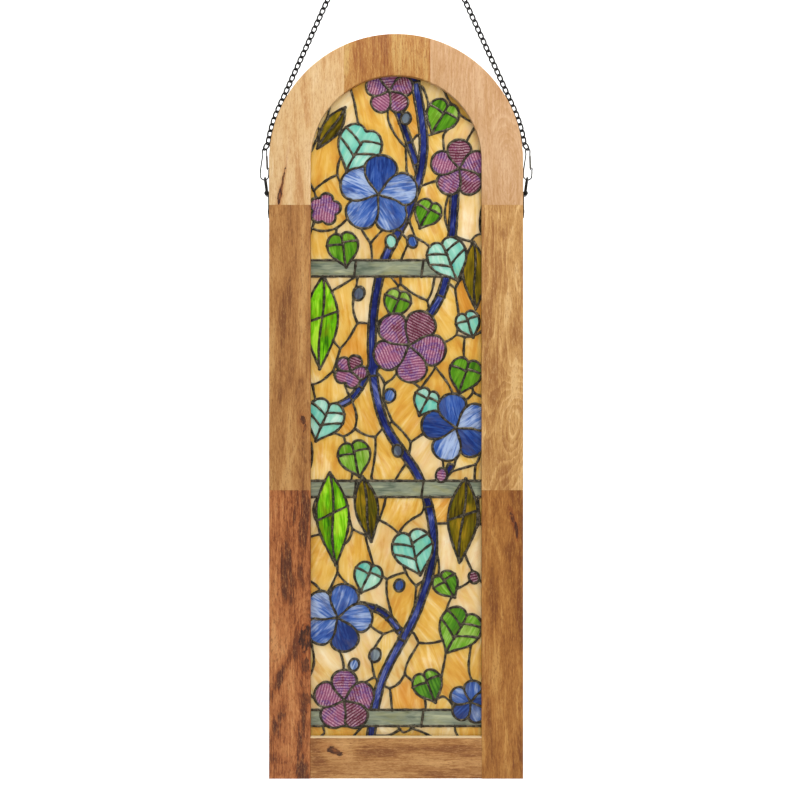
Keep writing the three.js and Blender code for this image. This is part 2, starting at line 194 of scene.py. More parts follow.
def spline(corners, count):
    """A Catmull-Rom curve through the corners: on each span a cubic set by its four neighbours."""
    corners = np.asarray(corners, float)
    padded = np.vstack([corners[:1], corners, corners[-1:]])
    t = np.linspace(0, len(corners) - 1, count)
    span = np.minimum(t.astype(int), len(corners) - 2)
    u = (t - span)[:, None]
    a, b, c, d = (padded[span + k] for k in range(4))
    square, cube = 2 * a - 5 * b + 4 * c - d, 3 * b - a - 3 * c + d
    return 0.5 * (2 * b + (c - a) * u + square * u**2 + cube * u**3)


# ---- materials ------------------------------------------------------------------------------
def linear(colour):
    """A linear colour from an sRGB hex value."""
    values = [int(colour[i : i + 2], 16) / 255 for i in (1, 3, 5)]
    curve = [v / 12.92 if v <= 0.04045 else ((v + 0.055) / 1.055) ** 2.4 for v in values]
    return (*curve, 1.0)


class Socket:
    """A node's output. Arithmetic on it adds nodes to its material."""

    def __init__(self, recipe, output):
        self.recipe, self.output = recipe, output

    def named(self, name):
        return Socket(self.recipe, self.output.node.outputs[name])

    def clamped(self):
        self.output.node.use_clamp = True
        return self

    def __add__(self, other):
        return self.recipe.add("Math", (self, other), operation="ADD")

    def __sub__(self, other):
        return self.recipe.add("Math", (self, other), operation="SUBTRACT")

    def __rsub__(self, other):
        return self.recipe.add("Math", (other, self), operation="SUBTRACT")

    def __mul__(self, other):
        return self.recipe.add("Math", (self, other), operation="MULTIPLY")

    def centred(self, gain):
        return (self - 0.5) * gain

    def bell(self, sharpness):
        """exp(-sharpness * value squared)"""
        return self.recipe.add("Math", (2.718, self * self * -sharpness), operation="POWER")


class Recipe:
    """A material under construction."""

    def __init__(self, name):
        self.material = bpy.data.materials.new(name)
        self.material.use_nodes = True
        self.tree = self.material.node_tree
        self.tree.nodes.clear()

    def add(self, kind, inputs=(), out=0, stops=(), **settings):
        """Adds one node and returns one of its outputs.

        Inputs are values, hex colours or outputs to join, in order or by number or name. Stops are
        a colour ramp's places, each with a hex colour or a grey level.
        """
        made = self.tree.nodes.new(f"ShaderNode{kind}")
        for key, value in settings.items():
            setattr(made, key, value)
        for key, value in inputs.items() if isinstance(inputs, dict) else enumerate(inputs):
            if isinstance(value, Socket):
                self.tree.links.new(value.output, made.inputs[key])
            else:
                made.inputs[key].default_value = linear(value) if isinstance(value, str) else value
        stops = list(stops)
        line = made.color_ramp.elements if stops else ()
        while len(line) < len(stops):
            line.new(0.5)
        for element, (place, colour) in zip(line, stops):
            element.position = place
            element.color = linear(colour) if isinstance(colour, str) else (colour,) * 3 + (1.0,)
        return Socket(self, made.outputs[out]) if made.outputs else None

    def drawn_out(self, where, scale, shift, detail, rough=0.5, distortion=0.0):
        """Noise on coordinates that are first scaled and shifted."""
        at = self.add("Mapping", {"Vector": where, "Scale": scale, "Location": shift})
        return self.add("TexNoise", {
            "Vector": at, "Scale": 1.0, "Detail": detail, "Roughness": rough,
            "Distortion": distortion})

    def finish(self, inputs, glow=0):
        """Ends in one glossy surface, a share of it light let through from behind."""
        shader = self.add("BsdfPrincipled", inputs)
        if glow:
            through = self.add("BsdfTranslucent", {"Color": inputs["Base Color"]})
            shader = self.add("MixShader", (glow, shader, through))
        self.add("OutputMaterial", {"Surface": shader})
        return self.material

    def oval_reach(self, where, x, z, half_wide, half_long, lean):
        """How far a point lies from an oval's middle, in half widths and half lengths."""
        turned = self.add("Mapping", {
            "Vector": where, "Location": (x, 0, z), "Rotation": (0, math.radians(lean), 0),
            "Scale": (half_wide, 1000, half_long)}, vector_type="TEXTURE")
        return self.add("VectorMath", (turned,), out="Value", operation="LENGTH")


COLOURS = {"data_type": "RGBA", "out": 2}  # a Mix node on colours, its inputs 6 and 7
KNOT_HALO = "#96491a"
KNOT_BARK = "#26100a"
# the colour of the painted highlight on the rail's upper edge
PAINTED_EDGE_LIGHT = "#f3dfb2"
RING_STEP = 5.2  # mm from one growth ring to the next


# Mango wood, sawn, sanded and oiled: a soft satin surface. Broad tan and brown streaks follow the
# grain, finer fibre lines and short dark pores lie over them, and knots push the grain aside.
def mango_wood(name, palette, pith, seed, grain="z", knots=(), swirls=(), stains=(), streaks=0.5,
               figure=0.12, lit_edge_height=None):
    """palette: five hex colours from dark to pale; pith: (x, y) of the rings' middle, in mm.

    Rings are the distance from the pith line, bent by slow noise. Ovals are (x, z, half width,
    half length, lean in degrees, amount) in mm above the foot: knots are dark and push the rings
    aside, swirls only bend them, stains make the wood paler, or darker if the amount is negative.
    """
    wood = Recipe(name)
    # in millimetres above the foot, the grain turned to run along z
    place = wood.add("TexCoord", out="Object")
    where = wood.add("Mapping", {
        "Vector": place, "Scale": (1 / MM,) * 3, "Location": (0, 0, HOOK_HEIGHT)})
    along = where
    if grain == "x":
        along = wood.add("Mapping", {"Vector": where, "Rotation": (0, math.radians(90), 0)})

    def fibrous(across, length, shift, detail, rough=0.5):
        """Noise stretched along the grain."""
        return wood.drawn_out(along, (across, across, length), shift, detail, rough)

    wander = fibrous(0.06, 0.012, (0, seed, 0), 4.0)
    bend = fibrous(0.016, 0.0036, (seed, 0, 0), 2.0).centred(52.0) + wander.centred(16.0)
    for *oval, amount in swirls:
        bend = bend + wood.oval_reach(where, *oval).bell(1.0) * amount
    discs = [(wood.oval_reach(where, *oval), amount) for *oval, amount in knots]
    for reach, amount in discs:
        bend = bend + reach.bell(0.22) * (13.0 * amount)
    parted = wood.add("SeparateXYZ", (along,))
    side, deep = parted.named("X") - pith[0], parted.named("Y") - pith[1]
    radius = wood.add("Math", (side * side + deep * deep,), operation="SQRT") + bend
    # faint growth rings, each a soft saw-tooth
    ring = wood.add("Math", (radius, RING_STEP), operation="DIVIDE")
    ring = wood.add("Math", (ring,), operation="FRACT")
    ring = wood.add("ValToRGB", (ring,), stops=((0.0, 0.2), (0.5, 0.5), (0.88, 1.0), (1.0, 0.25)))
    # broad colour streaks, some ten millimetres apart, keyed to the same bent radius
    band = wood.add("CombineXYZ", (radius * 0.07,))
    band = wood.drawn_out(band, (1, 1, 1), (seed * 1.7, 0, 0), 4.0, 0.62)
    mottle = fibrous(0.06, 0.011, (seed, seed, 0), 5.0, 0.6)
    fibre = fibrous(0.55, 0.03, (0, seed, 0), 4.0, 0.7)
    tone = band.centred(3.4 * streaks) + mottle.centred(1.8)
    tone = tone + fibre.centred(1.35) + ring.centred(figure)
    for *oval, amount in stains:
        reach = wood.oval_reach(where, *oval) + wander.centred(2.0)
        tone = tone + reach.bell(1.1) * amount
    tone = (tone + 0.5).clamped()
    colour = wood.add("ValToRGB", (tone,), stops=zip((0.08, 0.3, 0.5, 0.7, 0.92), palette))
    # pores: dashes under a millimetre wide and some ten long, darker and paler than the rest
    pore = fibrous(0.8, 0.16, (seed, 0, 3), 3.0, 0.85)
    open_pore = wood.add("ValToRGB", (pore,), stops=((0.51, 0.0), (0.66, 1.0)))
    bright = wood.add("ValToRGB", (pore,), stops=((0.32, 1.0), (0.48, 0.0)))
    colour = wood.add("Mix", {0: open_pore * 0.7, 6: colour, 7: palette[0]}, **COLOURS)
    colour = wood.add("Mix", {0: bright * 0.5, 6: colour, 7: palette[4]}, **COLOURS)
    if lit_edge_height is not None:
        # painted highlight: the upward-facing edge at this height is painted paler, standing in for
        # light from above
        level = wood.add("SeparateXYZ", (where,), out="Z")
        edge = ((level - lit_edge_height) * 1.1).bell(1.0)
        colour = wood.add("Mix", {0: edge * 0.8, 6: colour, 7: PAINTED_EDGE_LIGHT}, **COLOURS)
    if discs:
        speck = fibrous(0.32, 0.12, (0, seed, 0), 3.0, 0.7)
        burr = wood.add("ValToRGB", (speck,), stops=((0.45, "#210e08"), (0.6, "#80461f")))
    for reach, amount in discs:
        # a warm halo, a dark mottled disc and the ragged bark line round it
        ragged = reach + wander.centred(1.6) + speck.centred(2.2)
        halo = ragged.bell(0.5) * (0.6 * amount)
        disc = ((1.1 - ragged) * 3.5).clamped() * (0.9 * amount)
        bark = wood.add("Math", (ragged - 0.85,), operation="ABSOLUTE")
        bark = (1.0 - bark * 3.6).clamped() * (0.85 * amount)
        for cover, shade in ((halo, KNOT_HALO), (disc, burr), (bark, KNOT_BARK)):
            colour = wood.add("Mix", {0: cover, 6: colour, 7: shade}, **COLOURS)
    bump = wood.add("Bump", {
        "Height": fibre * 0.5 - open_pore, "Strength": 0.3, "Distance": 0.0003})
    return wood.finish({
        "Base Color": colour, "Roughness": fibre * 0.16 + 0.42, "Normal": bump, "IOR": 1.5,
        "Specular IOR Level": 0.3})


# Opalescent and streaky art glass, rolled and cut: white opal drawn out with coloured glass while
# soft, so wisps run one way in each pane. It is glossy in front and glows with light from behind.
def art_glass(name, stops, streak, cloud, spread, tint):
    """stops: a ramp of hex colours; streak: the width and length of a wisp in mm; cloud and
    spread: how far the tone moves over a sheet and from pane to pane; tint: a second colour that
    drifts through some of the sheet, or None."""
    glass = Recipe(name)
    flow = glass.add("UVMap", uv_map="Flow")
    pane = glass.add("Attribute", out="Fac", attribute_name="pane")
    wide, long = streak
    wisps = (UV_UNIT / wide, UV_UNIT / long, 1)
    wisps = glass.drawn_out(flow, wisps, (0, 0, 0), 4.0, 0.55, 1.6)
    clouds = glass.drawn_out(flow, (4.2, 2.6, 1), (3, 7, 0), 3.0, 0.5, 0.8)
    tone = wisps.centred(1.5) + clouds.centred(2.6 * cloud) + pane.centred(spread)
    colour = glass.add("ValToRGB", ((tone + 0.5).clamped(),), stops=stops)
    if tint is not None:
        drift = glass.drawn_out(flow, (7, 2.2, 1), (9, 2, 0), 4.0, 0.6, 1.2)
        drift = glass.add("ValToRGB", (drift,), stops=((0.5, 0.0), (0.68, 1.0)))
        colour = glass.add("Mix", {0: drift * 0.65, 6: colour, 7: tint}, **COLOURS)
    seedy = glass.drawn_out(flow, (40, 22, 1), (0, 0, 0), 3.0)
    bump = glass.add("Bump", {"Height": seedy, "Strength": 0.25, "Distance": 0.0004})
    return glass.finish({
        "Base Color": colour, "Roughness": 0.15, "IOR": 1.5, "Specular IOR Level": 0.35,
        "Normal": bump}, glow=0.5)


# Tin-lead solder run over copper foil and blackened with patina: dull grey-brown metal, lumpy,
# with paler specks here and there.
def patina_solder():
    solder = Recipe("patina_solder")
    place = solder.add("TexCoord", out="Object")
    noise = {"Vector": place, "Detail": 3.0, "Roughness": 0.6}
    lumps = solder.add("TexNoise", noise | {"Scale": 260.0})
    stain = solder.add("TexNoise", noise | {"Scale": 900.0})
    tone = lumps * 0.6 + stain * 0.4
    colour = solder.add(
        "ValToRGB", (tone,), stops=((0.36, "#1f1b16"), (0.5, "#3f392e"), (0.64, "#7a705b")))
    gloss = solder.add("ValToRGB", (stain,), stops=((0.35, 0.48), (0.7, 0.22)))
    bump = solder.add("Bump", {"Height": tone, "Strength": 0.8, "Distance": 0.0005})
    return solder.finish({
        "Base Color": colour, "Roughness": gloss, "Metallic": 0.8, "Normal": bump})


# Steel wire and strip with a thin coat: satin, faintly uneven. The hangers and the chain have a
# baked black coat, the clips' sleeves a bare zinc one.
def coated_steel(name, dark, light, rough, metal=0.0):
    steel = Recipe(name)
    place = steel.add("TexCoord", out="Object")
    grain = steel.add("TexNoise", {"Vector": place, "Scale": 1400.0, "Detail": 2.0})
    colour = steel.add("ValToRGB", (grain,), stops=((0.35, dark), (0.7, light)))
    bump = steel.add("Bump", {"Height": grain, "Strength": 0.15, "Distance": 0.0001})
    return steel.finish({
        "Base Color": colour, "Roughness": grain * 0.15 + rough, "Metallic": metal,
        "Specular IOR Level": 0.3, "Normal": bump})


# ---- wooden frame ---------------------------------------------------------------------------
EASE = 1.1  # sanded roundness of the boards' long edges


def corner_arc(x, y, start):
    """A quarter circle of the edge radius about (x, y), from an angle in degrees."""
    return polar(EASE, np.radians(start + np.linspace(0, 90, 5)), x, y)


def board_section():
    """A board's outline across its length: distances from the outer edge in, then depths.

    Quarter circles at the four corners, and a square notch, the groove, in the inner edge.
    """
    left, right, back = EASE, BOARD_WIDTH - EASE, THICKNESS / 2 - EASE
    slot, floor = GROOVE_WIDTH / 2, BOARD_WIDTH - GROOVE_DEPTH
    return np.concatenate([
        corner_arc(left, -back, 180),
        corner_arc(right, -back, 270),
        [[BOARD_WIDTH, -slot], [floor, -slot], [floor, slot], [BOARD_WIDTH, slot]],
        corner_arc(right, back, 0),
        corner_arc(left, back, 90),
    ]).T


def straight_board(start, end, outward):
    """The section carried in a straight line; outward is +1 for the right side, -1 for the left."""
    across, deep = board_section()
    return swept(outward * (HALF_WIDTH - across), deep, [[start], [end]])


def bottom_rail():
    """The section carried from side to side, its groove facing up."""
    across, deep = board_section()
    return swept([[-OPENING_HALF], [OPENING_HALF]], deep, across)


def arch_board(x_from, x_to):
    """The section carried round the half circle between two upright planes.

    A point of the section lies at one radius, and meets an upright plane x = c at the angle whose
    cosine is c over that radius. A board that reaches the side runs on straight down to its foot.
    """
    across, deep = board_section()
    radius = HALF_WIDTH - across
    first, last = (np.arccos(np.clip(x / radius, -1, 1)) for x in (x_from, x_to))
    angle = first + np.linspace(0, 1, 48)[:, None] * (last - first)
    x, z = np.moveaxis(polar(radius, angle, 0, SPRING_LINE), -1, 0)
    feet = ((int(x_from <= -HALF_WIDTH), int(x_to >= HALF_WIDTH)), (0, 0))
    return swept(np.pad(x, feet, "edge"), deep, np.pad(z, feet, constant_values=UPPER_STILE_TOP))


def build_frame():
    outer = HALF_WIDTH
    lower, upper = (0, LOWER_STILE_TOP), (LOWER_STILE_TOP, UPPER_STILE_TOP)
    boards = {
        "arch_board_left": (arch_board(-outer, SEAM_LEFT), dict(
            palette=("#b07f4d", "#c59a64", "#cba673", "#d0ad7d", "#d9bd91"),
            pith=(-176, 60), seed=2.3, streaks=0.45,
            knots=[(-139.5, 730, 1.5, 24, 10, 0.95), (-142.5, 715, 2.3, 9, 8, 0.85)])),
        "arch_board_middle": (arch_board(SEAM_LEFT, SEAM_RIGHT), dict(
            palette=("#864b1e", "#9c632c", "#a77135", "#b27f41", "#c19a5a"),
            pith=(70, 60), seed=7.1, streaks=0.8,
            stains=[(-20, 890, 34, 30, 0, -0.16), (36, 885, 2.5, 60, 0, 0.5),
                    (22, 890, 14, 60, 0, 0.16)])),
        "arch_board_right": (arch_board(SEAM_RIGHT, outer), dict(
            palette=("#a97a4c", "#b5895a", "#bb9165", "#c1986f", "#c9a47c"),
            pith=(128, 30), seed=4.6, streaks=0.34, figure=0.42,
            swirls=[(136, 742, 17, 60, 0, 46)])),
        "left_upper_stile": (straight_board(*upper, -1), dict(
            palette=("#744520", "#926030", "#9f6c38", "#aa7841", "#ba8c53"),
            pith=(-158, 34), seed=11.4, streaks=0.5,
            knots=[(-114, 440, 3.2, 4.6, 0, 0.9), (-112, 430, 1.6, 5, 12, 0.7)],
            swirls=[(-114, 436, 16, 40, 0, 22)],
            stains=[(-139, 560, 5, 120, 2, -0.36), (-116, 640, 10, 60, 0, 0.12),
                    (-143, 420, 6, 60, -4, -0.2), (-134, 376, 3, 40, 20, 0.3)])),
        "left_lower_stile": (straight_board(*lower, -1), dict(
            palette=("#4e2510", "#87471c", "#a36032", "#b16f3c", "#c48852"),
            pith=(-118, 26), seed=15.9, streaks=0.45, figure=0.24,
            knots=[(-110, 172, 7, 15, 0, 1.0), (-111, 139, 4, 9, 0, 0.75),
                   (-110, 98, 5, 7, 0, 0.5)],
            swirls=[(-112, 150, 26, 66, 0, 38), (-130, 40, 24, 36, 0, 22)],
            stains=[(-137, 232, 6, 48, -3, -0.38), (-139, 132, 5, 58, 26, -0.6),
                    (-150, 60, 7, 30, 20, -0.4), (-120, 10, 14, 12, 0, -0.3),
                    (-116, 70, 5, 40, 6, -0.3)])),
        "right_upper_stile": (straight_board(*upper, 1), dict(
            palette=("#905e2e", "#a77740", "#b4864a", "#c09358", "#cfa76e"),
            pith=(152, 34), seed=20.2, streaks=0.45, figure=0.5,
            swirls=[(147, 440, 20, 58, 6, 46)],
            stains=[(117, 575, 4, 52, 7, -0.62), (128, 530, 3.4, 42, 7, 0.5),
                    (131, 668, 4, 8, 0, -0.6), (123, 500, 5, 60, 6, -0.4),
                    (146, 500, 5, 40, 4, 0.4), (112, 400, 5, 30, 0, -0.3),
                    (126, 690, 16, 14, 0, 0.3)])),
        "right_lower_stile": (straight_board(*lower, 1), dict(
            palette=("#743f13", "#8c561e", "#9a6227", "#a66f31", "#ba8745"),
            pith=(112, 50), seed=26.8, streaks=0.62,
            knots=[(143, 320, 1.9, 9, -18, 0.9), (147.5, 306, 1.7, 9, -6, 0.9)],
            swirls=[(132, 318, 14, 34, 0, 16)],
            stains=[(124, 120, 6, 52, 0, 0.3), (153, 180, 4, 200, 0, -0.3),
                    (108, 200, 4, 200, 0, 0.14)])),
        "bottom_rail": (bottom_rail(), dict(
            palette=("#7c4a22", "#9e6b38", "#ae7d48", "#b78851", "#c8985f"),
            # the rail's upper edge gets a painted highlight, for light from above
            pith=(24, 60), seed=31.5, streaks=0.6, grain="x", lit_edge_height=BOARD_WIDTH,
            knots=[(-75, 34, 9.5, 4, 24, 0.9)], swirls=[(-77, 33, 34, 15, 0, 16)],
            stains=[(-96, 30, 14, 26, 0, -0.3), (30, 20, 60, 5, 0, 0.16)])),
    }
    for node, (solid, look) in boards.items():
        material = mango_wood(f"mango_{node}", **look)
        piece(f"wood_{node}", solid, [material], WOOD_CREASE, "wood", node)


# ---- the picture: a vine on a trellis -------------------------------------------------------
# Outlines are closed rows of (x, z) points one unit across, placed by (x, z, size, turn).
PETALS = 5
PETAL_NOTCH = 0.66


def flower_outline():
    """Polar: the radius swells as |cos(5a/2)| ** 0.55 from the notches to the petals' tips."""
    angle = np.linspace(0, 2 * np.pi, 80, endpoint=False)
    swell = np.abs(np.cos(PETALS * angle / 2)) ** 0.55
    return polar(PETAL_NOTCH + (1 - PETAL_NOTCH) * swell, angle)


def heart_edge(angle):
    """Polar from the tip: a circle drawn out to the tip and pressed in at the notch, by falls that
    die away with the angle."""
    from_tip = np.abs((angle + np.pi) % (2 * np.pi) - np.pi)
    radius = 0.44 + 0.2 * np.exp(-from_tip / 0.25) - 0.2 * np.exp((from_tip - np.pi) / 0.4)
    return np.stack([radius * np.sin(angle), -radius * np.cos(angle)], -1)


def long_leaf_edge(share):
    """Half the width is a sine of the height, fuller towards the top; share runs right round."""
    along = np.where(share < 0.5, 2 * share, 2 - 2 * share)
    half = 0.16 * np.sin(np.pi * along) * (0.85 + 0.45 * along)
    return np.stack([np.where(share < 0.5, half, -half), along - 0.5], -1)


def flower_seams(extra):
    """Lines from the middle to each notch, and in some petals one more towards the petal's edge."""
    seams = []
    for k in range(PETALS):
        share = np.linspace(0, 1, 14)
        bend = np.radians(36 + 72 * k) + 0.12 * np.sin(np.pi * share)
        seams.append(polar(share * (PETAL_NOTCH + 0.04), bend))
        if k in extra:
            share = np.linspace(0.3, 1.02, 12)
            seams.append(polar(share, np.radians(72 * k + 6) + 0.3 * (share - 1)))
    return seams


def heart_seams(pairs):
    """The midrib, and side veins from a height on the rib to an angle on the edge, bowed up."""
    rib = np.stack([0.015 * np.sin(np.linspace(0, 6, 20)), np.linspace(0.28, -0.66, 20)], -1)
    seams = [rib]
    for height, angle in pairs:
        for side in (-1, 1):
            end = heart_edge(np.array([side * math.radians(angle)]))[0] * 1.03
            share = np.linspace(0, 1, 12)[:, None]
            start = np.array([-0.04 * side, height + 0.03 * side])
            middle = 2 * share * (1 - share) * ((start + end) / 2 + [0, 0.05])
            seams.append((1 - share) ** 2 * start + middle + share**2 * end)
    return seams


def long_leaf_seams(cuts):
    share = np.linspace(0, 1, 24)
    rib = np.stack([0.02 * np.sin(2 * np.pi * share), 0.52 - 1.04 * share], -1)
    across = np.linspace(-0.2, 0.2, 10)
    return [rib] + [np.stack([across, cut + 0.4 * across], -1) for cut in cuts]


def placed(points, x, z, size, turn):
    """Turns by an angle in degrees, scales, and moves."""
    angle = math.radians(turn)
    spin = np.array([[math.cos(angle), -math.sin(angle)], [math.sin(angle), math.cos(angle)]])
    return points @ spin.T * size + np.array([x, z])


FLOWERS = [
    ("plum", -64, 94, 38, 90), ("blue", -72, 196, 43, 72), ("blue", 74, 430, 43, 100),
    ("plum", 16, 532, 46, 60), ("blue", -22, 718, 49, 84), ("plum", 78, 750, 36, 90),
]
SMALL_FLOWERS = [
    ("blue", 92, 92, 27, 80), ("plum", -56, 500, 21, 64), ("plum", -8, 846, 30, 90),
    ("plum", -88, 700, 20, 80),
]
HEARTS = [
    ("leaf", 80, 186, 60, -28), ("aqua", 20, 284, 58, 16), ("aqua", -87, 446, 54, -20),
    ("aqua", 62, 644, 56, 24), ("aqua", -44, 781, 62, -26),
]
SMALL_HEARTS = [
    ("leaf", 38, 116, 42, 24), ("aqua", -34, 250, 40, -22), ("leaf", 60, 240, 36, 34),
    ("leaf", -52, 398, 46, 14), ("aqua", 38, 466, 36, -24), ("leaf", 86, 500, 46, -16),
    ("leaf", 2, 588, 38, -18), ("leaf", -66, 656, 44, 10), ("leaf", 40, 698, 38, -26),
    ("leaf", 58, 818, 46, -28), ("aqua", 88, 562, 34, 20),
]
LONG_LEAVES = [
    ("lime", -78, 318, 116, 4), ("olive", 82, 316, 106, -4), ("lime", -92, 560, 116, -2),
]
SMALL_LONG_LEAVES = [
    ("olive", -36, 330, 82, 8), ("olive", 97, 618, 84, 2), ("olive", -80, 800, 62, -34),
]
BUDS = [
    ("slate", -26, 150, 9), ("blue", 4, 236, 8), ("plum", 56, 372, 9), ("slate", 2, 402, 8),
    ("blue", -8, 470, 9), ("plum", 96, 246, 8), ("slate", -46, 596, 9), ("blue", 20, 660, 8),
    ("aqua", -6, 660, 9), ("slate", 12, 812, 8), ("blue", -52, 138, 8),
]
STEM_WIDTH = 9.5
SHOOT_WIDTH = 7.5
STEMS = [
    [(-34, 30), (-18, 118), (26, 205), (46, 285), (30, 365), (-16, 440), (-30, 530), (-18, 626),
     (16, 700), (34, 780), (18, 885)],
    [(-33, 500), (0, 530), (48, 580), (66, 640), (74, 750)],
]
SHOOTS = [  # thin side shoots, without a place of their own in the plain solids
    [(10, 172), (-20, 205), (-70, 215)],
    [(36, 350), (66, 380), (76, 430)],
    [(-29, 510), (-52, 470), (-84, 452)],
    [(30, 740), (10, 800), (-10, 850)],
]
BAR_HALF_HEIGHT = 10
BARS = [72.5, 355, 627]
BAR_CUTS = (-52, 31)

# how the field is cut and triangulated, in millimetres and square millimetres
CELL_WIDE, CELL_TALL, CELL_JITTER = 40.0, 62.0, 0.3
SEED_HALF, SEED_FOOT = 170, 20
CUT_STEP, CUT_BOW, LEAST_CUT, LONGEST_CUT = 2.5, 0.12, 0.5, 150
LINE_STEP = 2.2
PLAIN_STEP, RIPPLED_STEP = 5.0, 1.05
GRID_TOP = 870  # just above the field
LEAST_GROUND_PANE, LEAST_SHAPE_PANE = 70, 22
SAME_SHAPE_PULL = 3  # how much rather a scrap joins a pane of its own shape


def collect_shapes():
    """The picture from the topmost shape down: (kind, outline, seams, flow), flow being a function
    from a pane's middle to the direction of its streaks."""
    ring = np.linspace(0, 1, 64, endpoint=False)
    flower, heart = flower_outline(), heart_edge(2 * np.pi * ring)
    leaf, bud = long_leaf_edge(ring), polar(1, 2 * np.pi * ring) * [0.8, 1]
    buds = [(*at, 20 * math.sin(at[1])) for at in BUDS]
    shapes = []

    def away_from(x, z):
        return lambda at: math.atan2(at[1] - z, at[0] - x)

    def steady(angle):
        return lambda at: angle

    for places, outline, seams in (
        (FLOWERS, flower, flower_seams((0, 2, 3))),
        (HEARTS, heart, heart_seams([(0.3, 136), (0.0, 112), (-0.3, 84)])),
        (LONG_LEAVES, leaf, long_leaf_seams([0.06])),
        (SMALL_FLOWERS, flower, flower_seams(())),
        (SMALL_HEARTS, heart, heart_seams([(0.02, 95)])),
        (SMALL_LONG_LEAVES, leaf, long_leaf_seams([])),
        (buds, bud, []),
    ):
        for kind, *place in places:
            x, z, _, turn = place
            flow = away_from(x, z) if outline is flower else steady(math.radians(turn - 90))
            own = [placed(seam, *place) for seam in seams]
            shapes.append((kind, placed(outline, *place), own, flow))
    reach, half = FIELD_HALF + 4, BAR_HALF_HEIGHT
    bar = np.array([[-reach, -half], [reach, -half], [reach, half], [-reach, half]])
    for height in BARS:
        cuts = [np.array([[x, height - half - 1], [x + 3, height + half + 1]]) for x in BAR_CUTS]
        shapes.append(("grey", bar + [0, height], cuts, steady(0.0)))
    for route, width in [(r, STEM_WIDTH) for r in STEMS] + [(r, SHOOT_WIDTH) for r in SHOOTS]:
        middle = spline(route, 90)
        side = right_of(middle)
        cuts = [middle[k] + np.outer((-1, 1), side[k]) * (width / 2 + 1) for k in range(14, 88, 18)]

        def along_stem(at, middle=middle, side=side):
            near = np.argmin(np.linalg.norm(middle - at, axis=1))
            x, z = side[np.clip(near, 1, len(middle) - 2)]
            return math.atan2(x, -z)

        side_by = side * width / 2
        outline = np.concatenate([middle + side_by, (middle - side_by)[::-1]])
        shapes.append(("cobalt", outline, cuts, along_stem))
    return shapes


def inside(points, outline):
    """Which points lie in a closed outline: a line to the right crosses it an odd number of
    times."""
    x, z = points[:, 0], points[:, 1]
    odd = np.zeros(len(points), bool)
    for (x0, z0), (x1, z1) in zip(outline, np.roll(outline, -1, axis=0)):
        if z0 != z1:
            spans = (z0 > z) != (z1 > z)
            odd ^= spans & (x < (x1 - x0) * (z - z0) / (z1 - z0) + x0)
    return odd


def field_outline(half, foot):
    """Straight sides and a half-round top."""
    arc = polar(half, np.linspace(0, np.pi, 60), 0, SPRING_LINE)
    return np.concatenate([[[-half, foot], [half, foot]], arc])


FIELD = field_outline(FIELD_HALF, FIELD_FOOT)


def ground_cuts():
    """Cuts through the ground: each lies midway between two neighbouring seeds of a jittered grid.

    They join the middles of the circles through the corners of the seeds' triangles. Each is bowed
    a little, and slow sines sway them all, as cuts drawn by hand. Cells are taller than wide.
    """
    seeds = []
    for row, z in enumerate(np.arange(SEED_FOOT, FRAME_HEIGHT + SEED_FOOT, CELL_TALL)):
        for x in np.arange(-SEED_HALF, SEED_HALF + 1, CELL_WIDE):
            shift = RNG.uniform(-CELL_JITTER, CELL_JITTER, 2) * (CELL_WIDE, CELL_TALL)
            seeds.append((x + (CELL_WIDE / 2 if row % 2 else 0) + shift[0], z + shift[1]))
    squash = np.array([CELL_TALL / CELL_WIDE, 1.0])
    flat = np.array(seeds) * squash
    triangles = delaunay_2d_cdt([Vector(p) for p in flat], [], [], 0, 1e-6)[2]
    a, b, c = (flat[list(corner)] for corner in zip(*triangles))
    (bx, bz), (cx, cz) = (b - a).T, (c - a).T
    bb, cc = bx**2 + bz**2, cx**2 + cz**2
    away = np.stack([cz * bb - bz * cc, bx * cc - cx * bb], -1)
    middles = (a + away / (2 * (bx * cz - bz * cx))[:, None]) / squash
    cuts = []
    for pair in users_of_edges(triangles).values():
        if len(pair) != 2:
            continue
        start, end = middles[pair[0]], middles[pair[1]]
        reach = end - start
        length = np.linalg.norm(reach)
        if LEAST_CUT < length < LONGEST_CUT:
            share = np.linspace(0, 1, max(3, int(length / CUT_STEP)))[:, None]
            bow = RNG.uniform(-CUT_BOW, CUT_BOW) * np.sin(np.pi * share) * [-reach[1], reach[0]]
            cut = start + share * reach + bow
            x, z = cut.T
            sway_x = 5 * np.sin(z / 31 + 1) + 3 * np.sin(z / 13 + x / 40)
            sway_z = 5 * np.sin(x / 27 + z / 90 + 2)
            cuts.append(cut + np.stack([sway_x, sway_z], -1))
    return cuts


def visible_lines(shapes):
    """Every outline, seam and ground cut as short steps, less the steps that a higher shape covers.

    A step goes only when both its ends are covered, so that what is left still reaches the cover.
    A seam step also goes when both ends are outside its own shape.
    """
    lines = []
    for order, (_, outline, seams, _) in enumerate(shapes):
        over = [higher[1] for higher in shapes[:order]]
        lines.append((np.concatenate([outline, outline[:1]]), over, None))
        lines += [(seam, over, outline) for seam in seams]
    every = [shape[1] for shape in shapes]
    lines += [(cut, every, None) for cut in ground_cuts()]
    lines.append((np.concatenate([FIELD, FIELD[:1]]), [], None))
    kept = []
    for line, over, home in lines:
        points = resampled(line, LINE_STEP)
        hidden = np.zeros(len(points), bool)
        for outline in over:
            low, high = outline.min(0), outline.max(0)
            if (points.max(0) > low).all() and (points.min(0) < high).all():
                hidden |= inside(points, outline)
        stays = ~(hidden[1:] & hidden[:-1])
        if home is not None:
            within = inside(points, home)
            stays &= within[1:] | within[:-1]
        kept.append((points, stays))
    return kept


def doubled_area(flat, faces):
    """Twice each triangle's area, below zero where it runs clockwise."""
    a, b, c = (flat[faces[:, k]] for k in range(3))
    return (b - a)[:, 0] * (c - a)[:, 1] - (b - a)[:, 1] * (c - a)[:, 0]


